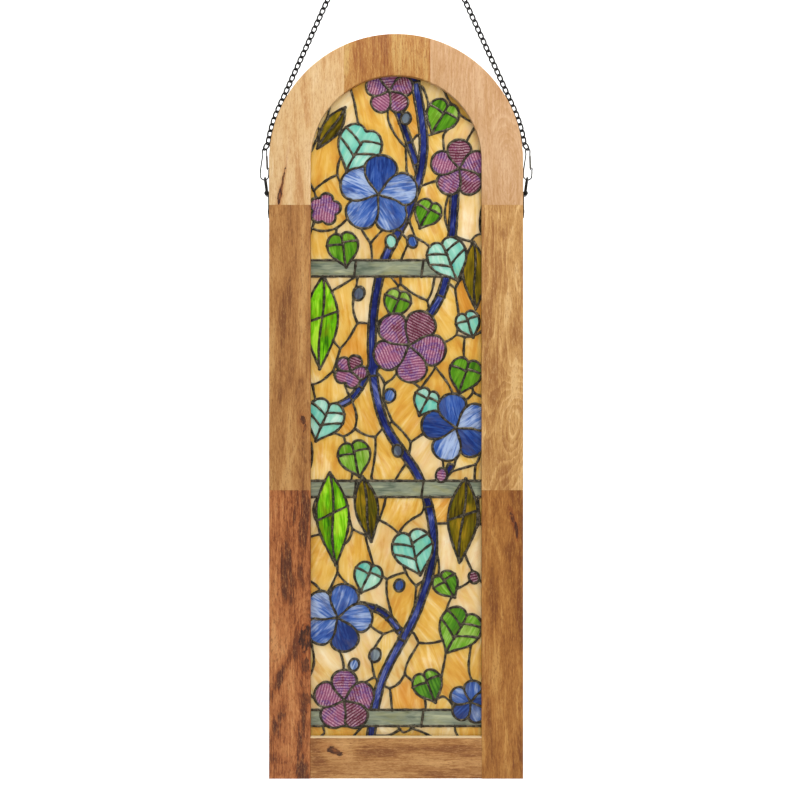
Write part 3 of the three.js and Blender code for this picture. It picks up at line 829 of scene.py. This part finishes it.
def cut_panes(shapes):
    """Cuts the field into panes.

    Triangulates all visible lines with extra points between them, joins triangles that no line
    parts into panes, gives each pane the shape that most of it lies in, and lets panes too small
    to cut join their neighbour with the longest common edge. Returns points, triangles, the pane
    of each triangle, the shape of each pane (-1 is ground) and the edges between panes.
    """
    points, edges = [], []
    count = 0
    for line, stays in visible_lines(shapes):
        points.append(line)
        edges += [(count + i, count + i + 1) for i in np.flatnonzero(stays)]
        count += len(line)
    rippled = [shape[1] for shape in shapes if shape[0] == "plum"]
    for step, fine in ((PLAIN_STEP, False), (RIPPLED_STEP, True)):
        grid = np.arange(-FIELD_HALF, FIELD_HALF, step), np.arange(FIELD_FOOT, GRID_TOP, step)
        between = np.stack([axis.ravel() for axis in np.meshgrid(*grid)], -1)
        between += RNG.uniform(-0.2, 0.2, between.shape) * step
        in_ripple = np.zeros(len(between), bool)
        for outline in rippled:
            in_ripple |= inside(between, outline)
        points.append(between[inside(between, FIELD) & (in_ripple == fine)])
    points = [Vector(point) for point in np.concatenate(points)]
    flat, out_edges, faces, _, sources, _ = delaunay_2d_cdt(points, edges, [], 0, 1e-3)
    flat = np.array([tuple(p) for p in flat])
    faces = np.array([face for face in faces if len(face) == 3])
    middle = flat[faces].mean(1)
    area = np.abs(doubled_area(flat, faces)) / 2
    keep = inside(middle, FIELD) & (area > 1e-6)
    faces, middle, area = faces[keep], middle[keep], area[keep]

    shape_of = np.full(len(faces), -1)
    for order in range(len(shapes) - 1, -1, -1):
        shape_of[inside(middle, shapes[order][1])] = order
    parted = {tuple(sorted(edge)) for edge, source in zip(out_edges, sources) if source}
    sides = {edge: pair for edge, pair in users_of_edges(faces.tolist()).items() if len(pair) == 2}

    parent = list(range(len(faces)))

    def find(i):
        while parent[i] != i:
            parent[i] = parent[parent[i]]
            i = parent[i]
        return i

    for edge, (a, b) in sides.items():
        if edge not in parted:
            parent[find(a)] = find(b)
    pane = np.array([find(i) for i in range(len(faces))])
    pane = np.unique(pane, return_inverse=True)[1]

    while True:
        total = np.bincount(pane, area)
        votes = np.zeros((len(total), len(shapes) + 1))
        np.add.at(votes, (pane, shape_of + 1), area)
        pane_shape = votes.argmax(1) - 1
        common = {}
        for edge, pair in sides.items():
            key = tuple(sorted(pane[pair]))
            if key[0] != key[1]:
                length = np.linalg.norm(flat[edge[0]] - flat[edge[1]])
                common[key] = common.get(key, 0) + length
        least = np.where(pane_shape < 0, LEAST_GROUND_PANE, LEAST_SHAPE_PANE)
        moves = {}
        for p in [p for p in np.argsort(total) if total[p] < least[p]]:
            near = []
            for (i, j), length in common.items():
                if p in (i, j):
                    q = j if i == p else i
                    pull = SAME_SHAPE_PULL if pane_shape[q] == pane_shape[p] else 1
                    near.append((length * pull, q))
            if near:
                target = max(near)[1]
                if target not in moves and p not in moves.values():
                    moves[p] = target
        if not moves:
            break
        for p, q in moves.items():
            pane[pane == p] = q
        pane = np.unique(pane, return_inverse=True)[1]
    lead = [edge for edge, (a, b) in sides.items() if pane[a] != pane[b]]
    return flat, faces, pane, pane_shape, lead


# ---- panes ----------------------------------------------------------------------------------
RIPPLE_PITCH = 3.3
RIPPLE_HEIGHT = 0.2
RIPPLE_SWAY = 0.24  # radians to the mm along a ridge
RIPPLE_SWING = 0.7  # how far that sway shifts the ridges, in radians of their own wave
PANE_INSET = 0.35  # bare foil between a pane and the middle of its line
GROUND_SHARES = {"honey": 0.52, "cream": 0.32, "amber": 0.16}


def glass_finishes():
    """One material for each sort of sheet the panes are cut from."""

    def sheet(sort, places, colours, streak, cloud, spread, tint):
        return art_glass(f"{sort}_glass", zip(places, colours.split()), streak, cloud, spread, tint)

    return {
        "honey": sheet("honey_opalescent", (0.1, 0.4, 0.62, 0.9), "#d8a042 #e6c05c #edd07c #f7e6b8",
                       (11, 70), 0.35, 0.24, "#dba448"),
        "cream": sheet("cream_opalescent", (0.1, 0.38, 0.65, 0.92),
                       "#dcae5a #e9cf8c #f0dcae #f7ecd0", (14, 80), 0.35, 0.3, "#e8c48e"),
        "amber": sheet("amber_opalescent", (0.08, 0.35, 0.62, 0.9),
                       "#cf9030 #e0a945 #eac064 #f2d996", (9, 56), 0.3, 0.3, "#da983e"),
        "plum": plum_ripple_glass(),
        "blue": sheet("blue_streaky", (0.12, 0.36, 0.6, 0.88), "#243f86 #3c63b2 #6085c6 #c2d1e8",
                      (5, 40), 0.35, 0.5, "#5d6288"),
        "slate": sheet("slate_streaky", (0.15, 0.5, 0.85), "#566072 #7a8793 #b2bdbe",
                       (6, 34), 0.35, 0.5, "#6f6a84"),
        "aqua": sheet("aqua_opalescent", (0.1, 0.38, 0.62, 0.9), "#69cdc0 #98dccb #b6e6d6 #e0f5e8",
                      (9, 44), 0.3, 0.5, "#a8d8b4"),
        "leaf": sheet("leaf_green_streaky", (0.1, 0.36, 0.6, 0.88),
                      "#3f7c14 #66a821 #86c034 #bfdc74", (5, 54), 0.3, 0.5, "#7f9c2a"),
        "lime": sheet("lime_streaky", (0.12, 0.34, 0.58, 0.85), "#2f6a06 #62a808 #8fdc12 #cdf24a",
                      (4, 44), 0.45, 0.5, "#9a9a10"),
        "olive": sheet("olive_streaky", (0.12, 0.38, 0.6, 0.88), "#3c3403 #6c5b07 #94800e #c09a22",
                       (5, 48), 0.4, 0.5, "#4f5a08"),
        "grey": sheet("grey_green_opalescent", (0.12, 0.4, 0.65, 0.9),
                      "#737f6d #9aa18d #b2b69c #d3d5b6", (5, 38), 0.35, 0.2, "#acaa78"),
        "cobalt": sheet("cobalt_streaky", (0.12, 0.42, 0.68, 0.92),
                        "#141b46 #262f78 #40509f #8790c8", (4, 34), 0.5, 0.5, None),
    }


# Rippled glass, rolled on a ridged table: wine, mauve and violet drift through it. The ridges,
# which run across each petal, have a painted pale highlight on their crests and painted shade
# between.
def plum_ripple_glass():
    glass = Recipe("plum_ripple_glass")
    flow = glass.add("UVMap", uv_map="Flow")
    pane = glass.add("Attribute", out="Fac", attribute_name="pane")
    parted = glass.add("SeparateXYZ", (flow,))
    sway = parted.named("X") * (RIPPLE_SWAY * UV_UNIT)
    wobble = glass.add("Math", (sway,), operation="SINE") * RIPPLE_SWING
    phase = parted.named("Y") * (2 * math.pi * UV_UNIT / RIPPLE_PITCH) + wobble
    phase = phase + glass.drawn_out(flow, (16, 16, 1), (0, 0, 0), 3.0, 0.6).centred(5.0)
    crest = glass.add("Math", (phase,), operation="SINE") * 0.5 + 0.5
    hue = glass.drawn_out(flow, (9, 5, 1), (2, 5, 0), 3.0).centred(1.9)
    colour = glass.add("ValToRGB", (hue + pane.centred(0.8) + 0.5,), stops=(
        (0.25, "#74243f"), (0.45, "#963f66"), (0.62, "#7d55a6"), (0.8, "#b66a92")))
    # painted shade: the hollows between the ridges are mixed darker
    hollow_shade = (1.0 - crest) * 0.45
    colour = glass.add("Mix", {0: hollow_shade, 6: colour, 7: "#5c1c36"}, **COLOURS)
    # the painted highlight on the crests is broken up and comes and goes over the sheet
    broken = glass.drawn_out(flow, (60, 30, 1), (4, 1, 0), 2.0)
    broken = glass.add("ValToRGB", (broken,), stops=((0.34, 0.15), (0.62, 1.0)))
    lit = glass.drawn_out(flow, (8, 8, 1), (6, 3, 0), 2.0)
    lit = glass.add("ValToRGB", (lit,), stops=((0.38, 0.5), (0.58, 1.0)))
    pale = glass.add("Math", (crest, 1.3), operation="POWER") * (broken * lit)
    colour = glass.add("Mix", {0: pale, 6: colour, 7: "#ecc8d4"}, **COLOURS)
    return glass.finish({
        "Base Color": colour, "Roughness": 0.14, "IOR": 1.5, "Specular IOR Level": 0.35}, glow=0.5)


def pane_solid(corners, triangles, kind, flow):
    """One pane: its front and back faces and the cut edge between them.

    Triangles run anticlockwise seen from the front. The edge is drawn in by the inset. The front
    tilts and waves slightly; on rippled glass a sine wave runs along the flow.
    """
    count = len(corners)
    turned = np.stack([triangles, np.roll(triangles, -1, axis=1)], -1).reshape(-1, 2)
    rim = turned[~np.isin(turned @ [count, 1], turned @ [1, count])]
    inward = unit(corners[rim[:, 1]] - corners[rim[:, 0]])[:, ::-1] * [-1, 1]
    shift = np.zeros_like(corners)
    for k in range(2):
        np.add.at(shift, rim[:, k], inward)
    drawn = corners + PANE_INSET * unit(shift)
    middle = corners.mean(0)
    spin = np.array([[math.cos(flow), math.sin(flow)], [-math.sin(flow), math.cos(flow)]])
    across, along = ((corners - middle) @ spin.T)[:, ::-1].T
    offset = drawn - middle
    tilt = RNG.uniform(-0.005, 0.005, 2)
    front = -GLASS_HALF + offset @ tilt + 0.05 * np.sin(drawn[:, 0] / 9) * np.cos(drawn[:, 1] / 12)
    if kind == "plum":
        wobble = RIPPLE_SWING * np.sin(RIPPLE_SWAY * across)
        front = front - RIPPLE_HEIGHT * np.sin(2 * np.pi * along / RIPPLE_PITCH + wobble)
    points = np.concatenate([
        np.stack([drawn[:, 0], front, drawn[:, 1]], -1),
        np.stack([drawn[:, 0], np.full(count, GLASS_HALF), drawn[:, 1]], -1),
    ])
    walls = np.stack([rim[:, 1], rim[:, 0], rim[:, 0] + count, rim[:, 1] + count], -1)
    faces = [tuple(f) for f in triangles] + [tuple(f) for f in triangles[:, ::-1] + count]
    faces += [tuple(f) for f in walls]
    start = RNG.integers(0, 40, 2) + 0.5
    uv = np.tile(np.stack([across, along], -1) / UV_UNIT + start, (2, 1))
    return points, faces, uv


def front_triangles(node):
    """A plain pane's front face, as triangles of (x, z) in mm above the foot."""
    mesh = frame["nodes"][node].data
    where = np.empty(len(mesh.vertices) * 3)
    mesh.vertices.foreach_get("co", where)
    where = where.reshape(-1, 3) / MM
    corners = where[np.array([tuple(face.vertices) for face in mesh.polygons])]
    corners = corners[(corners[:, :, 1] < -GLASS_HALF + 0.2).all(1)]
    return corners[:, :, ::2] + [0, HOOK_HEIGHT]


def covers(triangles, point):
    """Whether any of the triangles holds the point: it lies on one side of all three edges."""
    ahead = np.roll(triangles, -1, axis=1) - triangles
    reach = point - triangles
    turn = ahead[..., 0] * reach[..., 1] - ahead[..., 1] * reach[..., 0]
    return bool(((turn > 0).all(1) | (turn < 0).all(1)).any())


def panes_by_node(flat, faces, pane, nodes):
    """Which panes each plain pane stands for: those whose largest triangle lies in it.

    A pane in none of them goes to the nearest, and a plain pane left with none takes the nearest
    pane that its owner can spare.
    """
    centres = {node: corners.reshape(-1, 2).mean(0) for node, corners in nodes.items()}
    area = np.abs(doubled_area(flat, faces))
    groups = {node: [] for node in nodes}
    middles = {}
    for p in range(pane.max() + 1):
        mine = np.flatnonzero(pane == p)
        middles[p] = flat[faces[mine]].mean((0, 1))
        spot = flat[faces[mine[area[mine].argmax()]]].mean(0)
        home = [node for node, corners in nodes.items() if covers(corners, spot)]
        if not home:
            home = [min(nodes, key=lambda node: np.linalg.norm(centres[node] - spot))]
        groups[home[0]].append(p)
    for node, held in groups.items():
        if not held:
            near = sorted(middles, key=lambda p: np.linalg.norm(middles[p] - centres[node]))
            for p in near:
                owner = next(other for other, panes in groups.items() if p in panes)
                if len(groups[owner]) > 1:
                    groups[owner].remove(p)
                    groups[node].append(p)
                    break
    return groups


def build_glass(shapes, flat, faces, pane, pane_shape):
    slots = {part["node"]: part["material_slot"] for part in frame["record"]["subparts"]}
    nodes = {node: front_triangles(node) for node, slot in slots.items() if slot.endswith("_glass")}
    clockwise = doubled_area(flat, faces) <= 0
    faces = np.where(clockwise[:, None], faces[:, ::-1], faces)
    finishes = glass_finishes()
    names = list(finishes)
    for node, held in panes_by_node(flat, faces, pane, nodes).items():
        solids, shades, sorts = [], [], []
        for p in held:
            triangles = faces[pane == p]
            ids, local = np.unique(triangles, return_inverse=True)
            middle = flat[ids].mean(0)
            if pane_shape[p] < 0:
                kind = RNG.choice(list(GROUND_SHARES), p=list(GROUND_SHARES.values()))
                flow = math.radians(90 + RNG.uniform(-38, 38))
            else:
                kind, _, _, flow_at = shapes[pane_shape[p]]
                flow = flow_at(middle)
            points, sides, uv = pane_solid(flat[ids], local.reshape(-1, 3), kind, flow)
            solids.append((points, sides))
            shades.append((uv, np.full(len(points), RNG.uniform())))
            sorts += [names.index(kind)] * len(sides)
        used = sorted(set(sorts))
        sheets = [finishes[names[k]] for k in used]
        made = piece(f"glass_{node}", joined(solids), sheets, GLASS_CREASE, slots[node], node)
        mesh = made.data
        mesh.polygons.foreach_set("material_index", [used.index(k) for k in sorts])
        corner_of = np.empty(len(mesh.loops), int)
        mesh.loops.foreach_get("vertex_index", corner_of)
        uv = np.concatenate([uv for uv, _ in shades])
        mesh.uv_layers.new(name="Flow").data.foreach_set("uv", uv[corner_of].ravel())
        shade = mesh.attributes.new("pane", "FLOAT", "POINT")
        shade.data.foreach_set("value", np.concatenate([value for _, value in shades]))


# ---- solder ---------------------------------------------------------------------------------
BEAD_HALF = 1.65
BEAD_HEIGHT = 1.0
BEAD_STEP = 1.5
BEAD_SINK = 0.35  # how far beads and pools reach into the glass
POOL_HALF, POOL_HEIGHT = (1.9, 2.5), (1.0, 1.2)  # from the least to the most


def lead_chains(flat, lead):
    """The lines between panes as open polylines that run from junction to junction."""
    near = {}
    for a, b in lead:
        near.setdefault(a, []).append(b)
        near.setdefault(b, []).append(a)
    used = set()
    chains = []
    ends = [v for v, others in near.items() if len(others) != 2]
    for start in ends + list(near):
        for after in near[start]:
            if (start, after) in used:
                continue
            chain = [start, after]
            used |= {(start, after), (after, start)}
            while len(near[chain[-1]]) == 2 and chain[-1] != start:
                onward = [v for v in near[chain[-1]] if v != chain[-2]]
                if not onward or (chain[-1], onward[0]) in used:
                    break
                used |= {(chain[-1], onward[0]), (onward[0], chain[-1])}
                chain.append(onward[0])
            chains.append(flat[chain])
    return chains, flat[ends]


def bead(line, side):
    """A half-ellipse carried along a line on one face of the glass.

    Its half width and height swell and thin by a few slow sines, as solder run by hand does.
    """
    middle = resampled(line, BEAD_STEP)
    for _ in range(3):
        middle[1:-1] = 0.25 * middle[:-2] + 0.5 * middle[1:-1] + 0.25 * middle[2:]
    x, z = middle[..., None].transpose(1, 0, 2)
    x_out, z_out = right_of(middle)[..., None].transpose(1, 0, 2)
    s = np.arange(len(middle)) * BEAD_STEP
    a, b, c = RNG.uniform(0, 6.3, 3)
    half = BEAD_HALF * (1 + 0.11 * np.sin(s / 4.1 + a) + 0.09 * np.sin(s / 1.7 + b))
    tall = BEAD_HEIGHT * (1 + 0.16 * np.sin(s / 5.3 + b) + 0.14 * np.sin(s / 1.9 + c))
    turn = np.linspace(0, np.pi, 7)
    reach = half[:, None] * np.cos(turn)
    rise = (tall[:, None] + BEAD_SINK) * np.sin(turn) ** 0.8
    return swept(x + x_out * reach, side * (GLASS_HALF - BEAD_SINK + rise), z + z_out * reach)


def solder_pool(spot, side):
    """A low dome over a junction: rings of a half ellipse turned about the spot."""
    wide, tall = RNG.uniform(*POOL_HALF), RNG.uniform(*POOL_HEIGHT)
    turn = np.linspace(0, 2 * np.pi, 12, endpoint=False)
    lean = np.linspace(0.0, 0.5 * np.pi - 0.15, 5)[:, None]
    rise = (tall + BEAD_SINK) * np.sin(lean)
    x, z = np.moveaxis(polar(wide * np.cos(lean), turn, *spot), -1, 0)
    return swept(x, side * (GLASS_HALF - BEAD_SINK + rise), z)


def panel_border():
    """A square strip round the panel's edge, hidden in the groove."""
    inner = field_outline(FIELD_HALF - 0.3, FIELD_FOOT + 0.3)
    gap = 0.6  # between the strip and the groove's floor
    outer = field_outline(OPENING_HALF + GROOVE_DEPTH - gap, BOARD_WIDTH - GROOVE_DEPTH + gap)
    front, back = -LEAD_HALF, LEAD_HALF
    corners = ((inner, front), (outer, front), (outer, back), (inner, back))
    rows = np.stack([np.insert(ring, 1, depth, axis=1) for ring, depth in corners], 1)
    return loft(rows, looped=True)


def build_solder(flat, lead):
    material = patina_solder()
    chains, junctions = lead_chains(flat, lead)
    for name, side in (("solder_front", -1), ("solder_back", 1)):
        parts = [bead(line, side) for line in chains if len(line) > 1]
        parts += [solder_pool(spot, side) for spot in junctions]
        if side < 0:
            parts.append(panel_border())
        stands_for = ["solder_network"] if side < 0 else []
        piece(name, joined(parts), [material], SOLDER_CREASE, "solder", *stands_for)


# ---- hanging hardware -----------------------------------------------------------------------
STRAP_BACK = HALF_WIDTH + 0.1
STRAP_GAUGE = 1.5
STRAP_HALF = 5.5
STRAP_FOOT = 689.0
STRAP_TOP = 716.0
SCREW_HEIGHT = 697.0
SCREW_REACH = 13
RING_WIRE = 2.5
RING_HALF = 7.4
RING_RISE = 19.5
RING_LEAN = 2.6
CLIP_WIRE = 1.6
CLIP_HEIGHT = 39.0
CHAIN_WIRE = 2.1
LINK_PITCH = 8.2
LINK_WIDTH = 7.2
CHAIN_STAND_OFF = 3.8
EYE_INNER = RING_WIRE / 2 + 0.3
RING_BAR_X = STRAP_BACK + STRAP_GAUGE + EYE_INNER
RING_BAR_Z = STRAP_TOP + 3.2
CLIP_X = RING_BAR_X + RING_LEAN + 0.7
CLIP_FOOT = RING_BAR_Z + RING_RISE - RING_WIRE / 2 - CLIP_WIRE / 2 - 0.5
CLIP_ROUTE = [
    (3.4, 12.5), (3.1, 22), (2.7, 31), (2.6, 36.6), (0, CLIP_HEIGHT), (-2.6, 36.6), (-2.3, 31),
    (-3.9, 20), (-5.2, 8.5), (-4.4, 2.6), (0, 0), (4.2, 2.3), (5.1, 7), (5.2, 12.5),
]


def tube(path, radius, plane, sides=10, closed=False):
    """A round section carried along a curve: its circle lies across the curve's direction."""
    if closed:
        ahead = np.roll(path, -1, axis=0) - np.roll(path, 1, axis=0)
    else:
        ahead = np.gradient(path, axis=0)
    ahead = unit(ahead)
    over = unit(np.cross(ahead, plane))
    up = np.cross(over, ahead)
    turn = np.linspace(0, 2 * np.pi, sides, endpoint=False)[:, None]
    ring = np.cos(turn) * over[:, None] + np.sin(turn) * up[:, None]
    radius = np.broadcast_to(radius, len(path))[:, None, None]
    return loft(path[:, None] + radius * ring, looped=closed)


def mirrored(part):
    points, faces = part
    return points * [-1, 1, 1], [tuple(face)[::-1] for face in faces]


def strap_hanger():
    """A strip standing on the frame's side, rolled round the ring's bar, its foot half round.

    The strip's outline is drawn in x and z and carried across its width, which narrows at the foot
    as a half circle does.
    """
    turn = np.radians(np.linspace(180, -126, 26))
    inner = polar(EYE_INNER, turn, RING_BAR_X, RING_BAR_Z)
    outer = polar(EYE_INNER + STRAP_GAUGE, turn, RING_BAR_X, RING_BAR_Z)[::-1]
    rise = STRAP_FOOT + np.array([0, 0.4, 1.1, 2.2, 3.8, 5.5, 12, 20])
    front = np.stack([np.full(8, STRAP_BACK + STRAP_GAUGE), rise], -1)
    back = np.stack([np.full(8, STRAP_BACK), rise], -1)[::-1]
    outline = np.concatenate([front, inner, outer, back])
    low = np.clip((outline[:, 1] - STRAP_FOOT) / STRAP_HALF, 0.02, 1)
    half = STRAP_HALF * np.sqrt(1 - (1 - low) ** 2)
    share = np.array([-1, -0.94, -0.5, 0, 0.5, 0.94, 1])[:, None]
    return swept(outline[:, 0], share * half, outline[:, 1])


def strap_screw():
    """A low head turned about X, on a shank; a cross of two slots is pressed into its crown."""
    turn = np.linspace(0, 2 * np.pi, 48, endpoint=False)
    seat = STRAP_BACK + STRAP_GAUGE + 0.05
    profile = [(1.5, HALF_WIDTH - SCREW_REACH), (1.5, seat - 0.2), (3.4, seat)]
    profile += [(3.4, seat + 0.2), (3.0, seat + 0.5)]
    profile += [(r, seat + 0.5 + 0.3 * (1 - (r / 3.0) ** 2)) for r in np.linspace(2.7, 0.15, 10)]
    radius, out = np.array(profile).T
    y, z = radius[:, None] * np.cos(turn), radius[:, None] * np.sin(turn)
    slot = np.clip(1.4 - np.minimum(np.abs(y), np.abs(z)) / 0.45, 0, 1) * (np.hypot(y, z) < 2.1)
    crown = out[:, None] > seat + 0.51
    return swept(out[:, None] - 0.5 * slot * crown, y, SCREW_HEIGHT + z)


def d_ring():
    """A straight bar, rounded corners, two legs and a half-round top, leaning out from the bar."""
    shoulder = RING_RISE - RING_HALF
    top = np.radians(np.linspace(0, 180, 13))
    side = [(0, 0), (3, 0), (5.4, 0), (6.8, 0.6), (7.4, 2.0), (7.4, 6)]
    arc = polar(RING_HALF, top, 0, shoulder).tolist()
    corners = side + arc + [(-y, z) for y, z in side[:0:-1]] + [(0, 0)]
    y, z = resampled(spline(corners, 240), 1.1)[:-1].T
    path = np.stack([RING_BAR_X + RING_LEAN * z / RING_RISE, y, RING_BAR_Z + z], -1)
    return tube(path, RING_WIRE / 2, (1, 0, -RING_LEAN / RING_RISE), 12, closed=True)


def clip_path(count=150):
    x, z = spline(CLIP_ROUTE, count).T
    return np.stack([CLIP_X + x, np.zeros(count), CLIP_FOOT + z], -1)


def spring_clip():
    """The wire bent to a pear, its end turned to a small hook that the gate closes on."""
    path = clip_path()
    hook = path[-1] + np.array([[0.5, 0, 0.9], [0.2, 0, 1.9], [-0.7, 0, 2.0]])
    return tube(np.concatenate([path, hook]), CLIP_WIRE / 2, (0, 1, 0), 10)


def clip_sleeve():
    """A bare steel sleeve round the gate's wire, its ends drawn in."""
    path = clip_path()
    gate = path[(path[:, 0] > CLIP_X + 2) & (np.arange(len(path)) < 40)]
    gate = gate[(gate[:, 2] > CLIP_FOOT + 13.5) & (gate[:, 2] < CLIP_FOOT + 31)]
    share = np.linspace(0, 1, len(gate))
    radius = 0.85 + 0.4 * np.clip(10 * np.minimum(share, 1 - share), 0, 1) ** 0.5
    return tube(gate, radius, (0, 1, 0), 10)


def chain_link():
    """One curb link: wire round an oval twisted about its length, by an eighth of a turn each way
    from the middle. Axes: along the chain, across it, and towards the back."""
    half_long, half_wide = (LINK_PITCH + CHAIN_WIRE) / 2, (LINK_WIDTH - CHAIN_WIRE) / 2
    turn = np.linspace(0, 2 * np.pi, 26, endpoint=False)
    along = half_long * np.sign(np.cos(turn)) * np.abs(np.cos(turn)) ** 0.8
    across = half_wide * np.sign(np.sin(turn)) * np.abs(np.sin(turn)) ** 0.75
    twist = np.radians(45) * along / half_long
    oval = np.stack([along, across * np.cos(twist), across * np.sin(twist)], -1)
    return tube(oval, CHAIN_WIRE / 2, (0, 0, 1), 6, closed=True)


def chain_route():
    """Up round the arch's shoulder, leaning on it, then straight to the middle link."""
    lean = HALF_WIDTH + CHAIN_STAND_OFF
    start = np.array([CLIP_X, CLIP_FOOT + CLIP_HEIGHT - 0.9])
    hook = np.array([LINK_PITCH / 2 + 0.3, HOOK_HEIGHT + 0.3])
    rise = hook[1] - SPRING_LINE
    last = math.atan2(rise, hook[0]) - math.acos(lean / math.hypot(hook[0], rise))
    first = math.asin((start[1] + 4 - SPRING_LINE) / lean)
    angle = np.linspace(first, last, 30)
    return np.concatenate([[start], polar(lean, angle, 0, SPRING_LINE), [hook]])


def chain_run():
    """Links set one pitch apart along the route, each turned to its chord, all as one array."""
    route = chain_route()
    length = np.linalg.norm(np.diff(route, axis=0), axis=1).sum()
    stations = resampled(route, length / round(length / LINK_PITCH))
    middle = (stations[1:] + stations[:-1]) / 2
    ahead = unit(stations[1:] - stations[:-1])
    points, faces = chain_link()
    s, w, y = points.T
    x = middle[:, 0, None] + ahead[:, 0, None] * s + ahead[:, 1, None] * w
    z = middle[:, 1, None] + ahead[:, 1, None] * s - ahead[:, 0, None] * w
    each = np.stack([x, np.broadcast_to(-y, x.shape), z], -1)
    return joined([(link, faces) for link in each])


def middle_link():
    points, faces = chain_link()
    s, w, y = points.T
    return np.stack([s, -y, HOOK_HEIGHT + w], -1), faces


def build_hardware():
    coat = coated_steel("black_coated_wire", "#050504", "#12100f", 0.4)
    bare = coated_steel("zinc_plated_sleeve", "#4b4844", "#837e76", 0.3, metal=0.8)
    parts = {
        "strap_hanger": strap_hanger(),
        "strap_screw": strap_screw(),
        "d_ring": d_ring(),
        "chain_run": chain_run(),
        "spring_clip": spring_clip(),
        "clip_sleeve": clip_sleeve(),
    }
    for side in ("right", "left"):
        for name, part in parts.items():
            # both clips hang the same way round
            if side == "left" and name in ("spring_clip", "clip_sleeve"):
                part = (part[0] - [2 * CLIP_X, 0, 0], part[1])
            elif side == "left":
                part = mirrored(part)
            node = f"{side}_{name}"
            finish, stands_for = (bare, []) if name == "clip_sleeve" else (coat, [node])
            piece(f"steel_{node}", part, [finish], STEEL_CREASE, "black_steel", *stands_for)
    node = "chain_middle_link"
    piece(f"steel_{node}", middle_link(), [coat], STEEL_CREASE, "black_steel", node)


# ---- room, light and camera -----------------------------------------------------------------
FLOOR_Z = -160.0
WALL_Y = 3200.0
WALL_TOP = 6000
BEND = 900.0
SWEEP_HALF = 9000
LIGHTS = (  # name, place and aim in metres about the panel's middle, width and height, watts
    ("key_softbox", (0.9, -1.5, 1.0), (0, 0, 0), (0.7, 0.7), 13.5),
    ("top_softbox", (0.25, -0.75, 1.5), (0, 0, -0.4), (1.2, 0.5), 17),
    ("fill_softbox", (-1.5, -1.6, 0.1), (0, 0, 0), (1.6, 1.6), 5.5),
    ("wall_wash", (0, 1.2, 2.1), (0, 2.5, -0.2), (4.0, 2.0), 105),
)
WORLD_STRENGTH = 0.38
SEEN_HEIGHT = 0.9812  # metres that the square picture takes in at the frame's front face
DISTANCE = 1.45
EYE_SIDE, EYE_RISE, MIDDLE_RISE = 0.0048, 0.4646, 0.46
SENSOR = 36


def build_stage():
    """A pale sweep: a floor that curves up into a wall behind the panel."""
    paper = Recipe("pale_paper_sweep")
    place = paper.add("TexCoord", out="Object")
    grain = paper.add("TexNoise", {"Vector": place, "Scale": 300.0, "Detail": 2.0})
    colour = paper.add("ValToRGB", (grain,), stops=((0.0, "#f6f6f5"), (1.0, "#fbfbfa")))
    material = paper.finish({"Base Color": colour, "Roughness": 0.9})
    turn = np.linspace(0, np.pi / 2, 16)
    y = np.concatenate([[-SWEEP_HALF], WALL_Y - BEND + BEND * np.sin(turn), [WALL_Y]])
    z = np.concatenate([[FLOOR_Z], FLOOR_Z + BEND - BEND * np.cos(turn), [WALL_TOP]])
    ends = (-SWEEP_HALF, SWEEP_HALF)
    rows = np.stack([np.stack([np.full(len(y), x), y, z], -1) for x in ends])
    faces = grid_faces(2, len(y), wrap=False)
    made = closed_mesh("paper_sweep", rows.reshape(-1, 3), faces, [material], SWEEP_CREASE)


def build_light_and_camera():
    scene = bpy.context.scene
    scene.view_settings.view_transform = "Standard"
    world = bpy.data.worlds.new("soft_white_room")
    scene.world = world
    world.use_nodes = True
    white = world.node_tree.nodes["Background"].inputs
    white["Color"].default_value = (1, 1, 1, 1)
    white["Strength"].default_value = WORLD_STRENGTH
    middle = Vector((0, 0, FOOT_Z + MIDDLE_RISE))
    for name, place, aim, (width, height), power in LIGHTS:
        light = bpy.data.lights.new(name, "AREA")
        light.shape = "RECTANGLE"
        light.size, light.size_y = width, height
        light.energy = power
        lamp = bpy.data.objects.new(name, light)
        lamp.location = middle + Vector(place)
        lamp.rotation_euler = (Vector(aim) - Vector(place)).to_track_quat("-Z", "Y").to_euler()
        bpy.context.collection.objects.link(lamp)
    camera = bpy.data.cameras.new("camera")
    camera.sensor_width = SENSOR
    camera.lens = SENSOR * DISTANCE / SEEN_HEIGHT
    eye = bpy.data.objects.new("camera", camera)
    eye.location = (EYE_SIDE, -DISTANCE - THICKNESS / 2 * MM, FOOT_Z + EYE_RISE)
    eye.rotation_euler = (math.radians(90), 0, 0)
    bpy.context.collection.objects.link(eye)
    scene.camera = eye


build_light_and_camera()
build_stage()
build_frame()
picture = collect_shapes()
flat, faces, pane, pane_shape, lead = cut_panes(picture)
build_glass(picture, flat, faces, pane, pane_shape)
build_solder(flat, lead)
build_hardware()
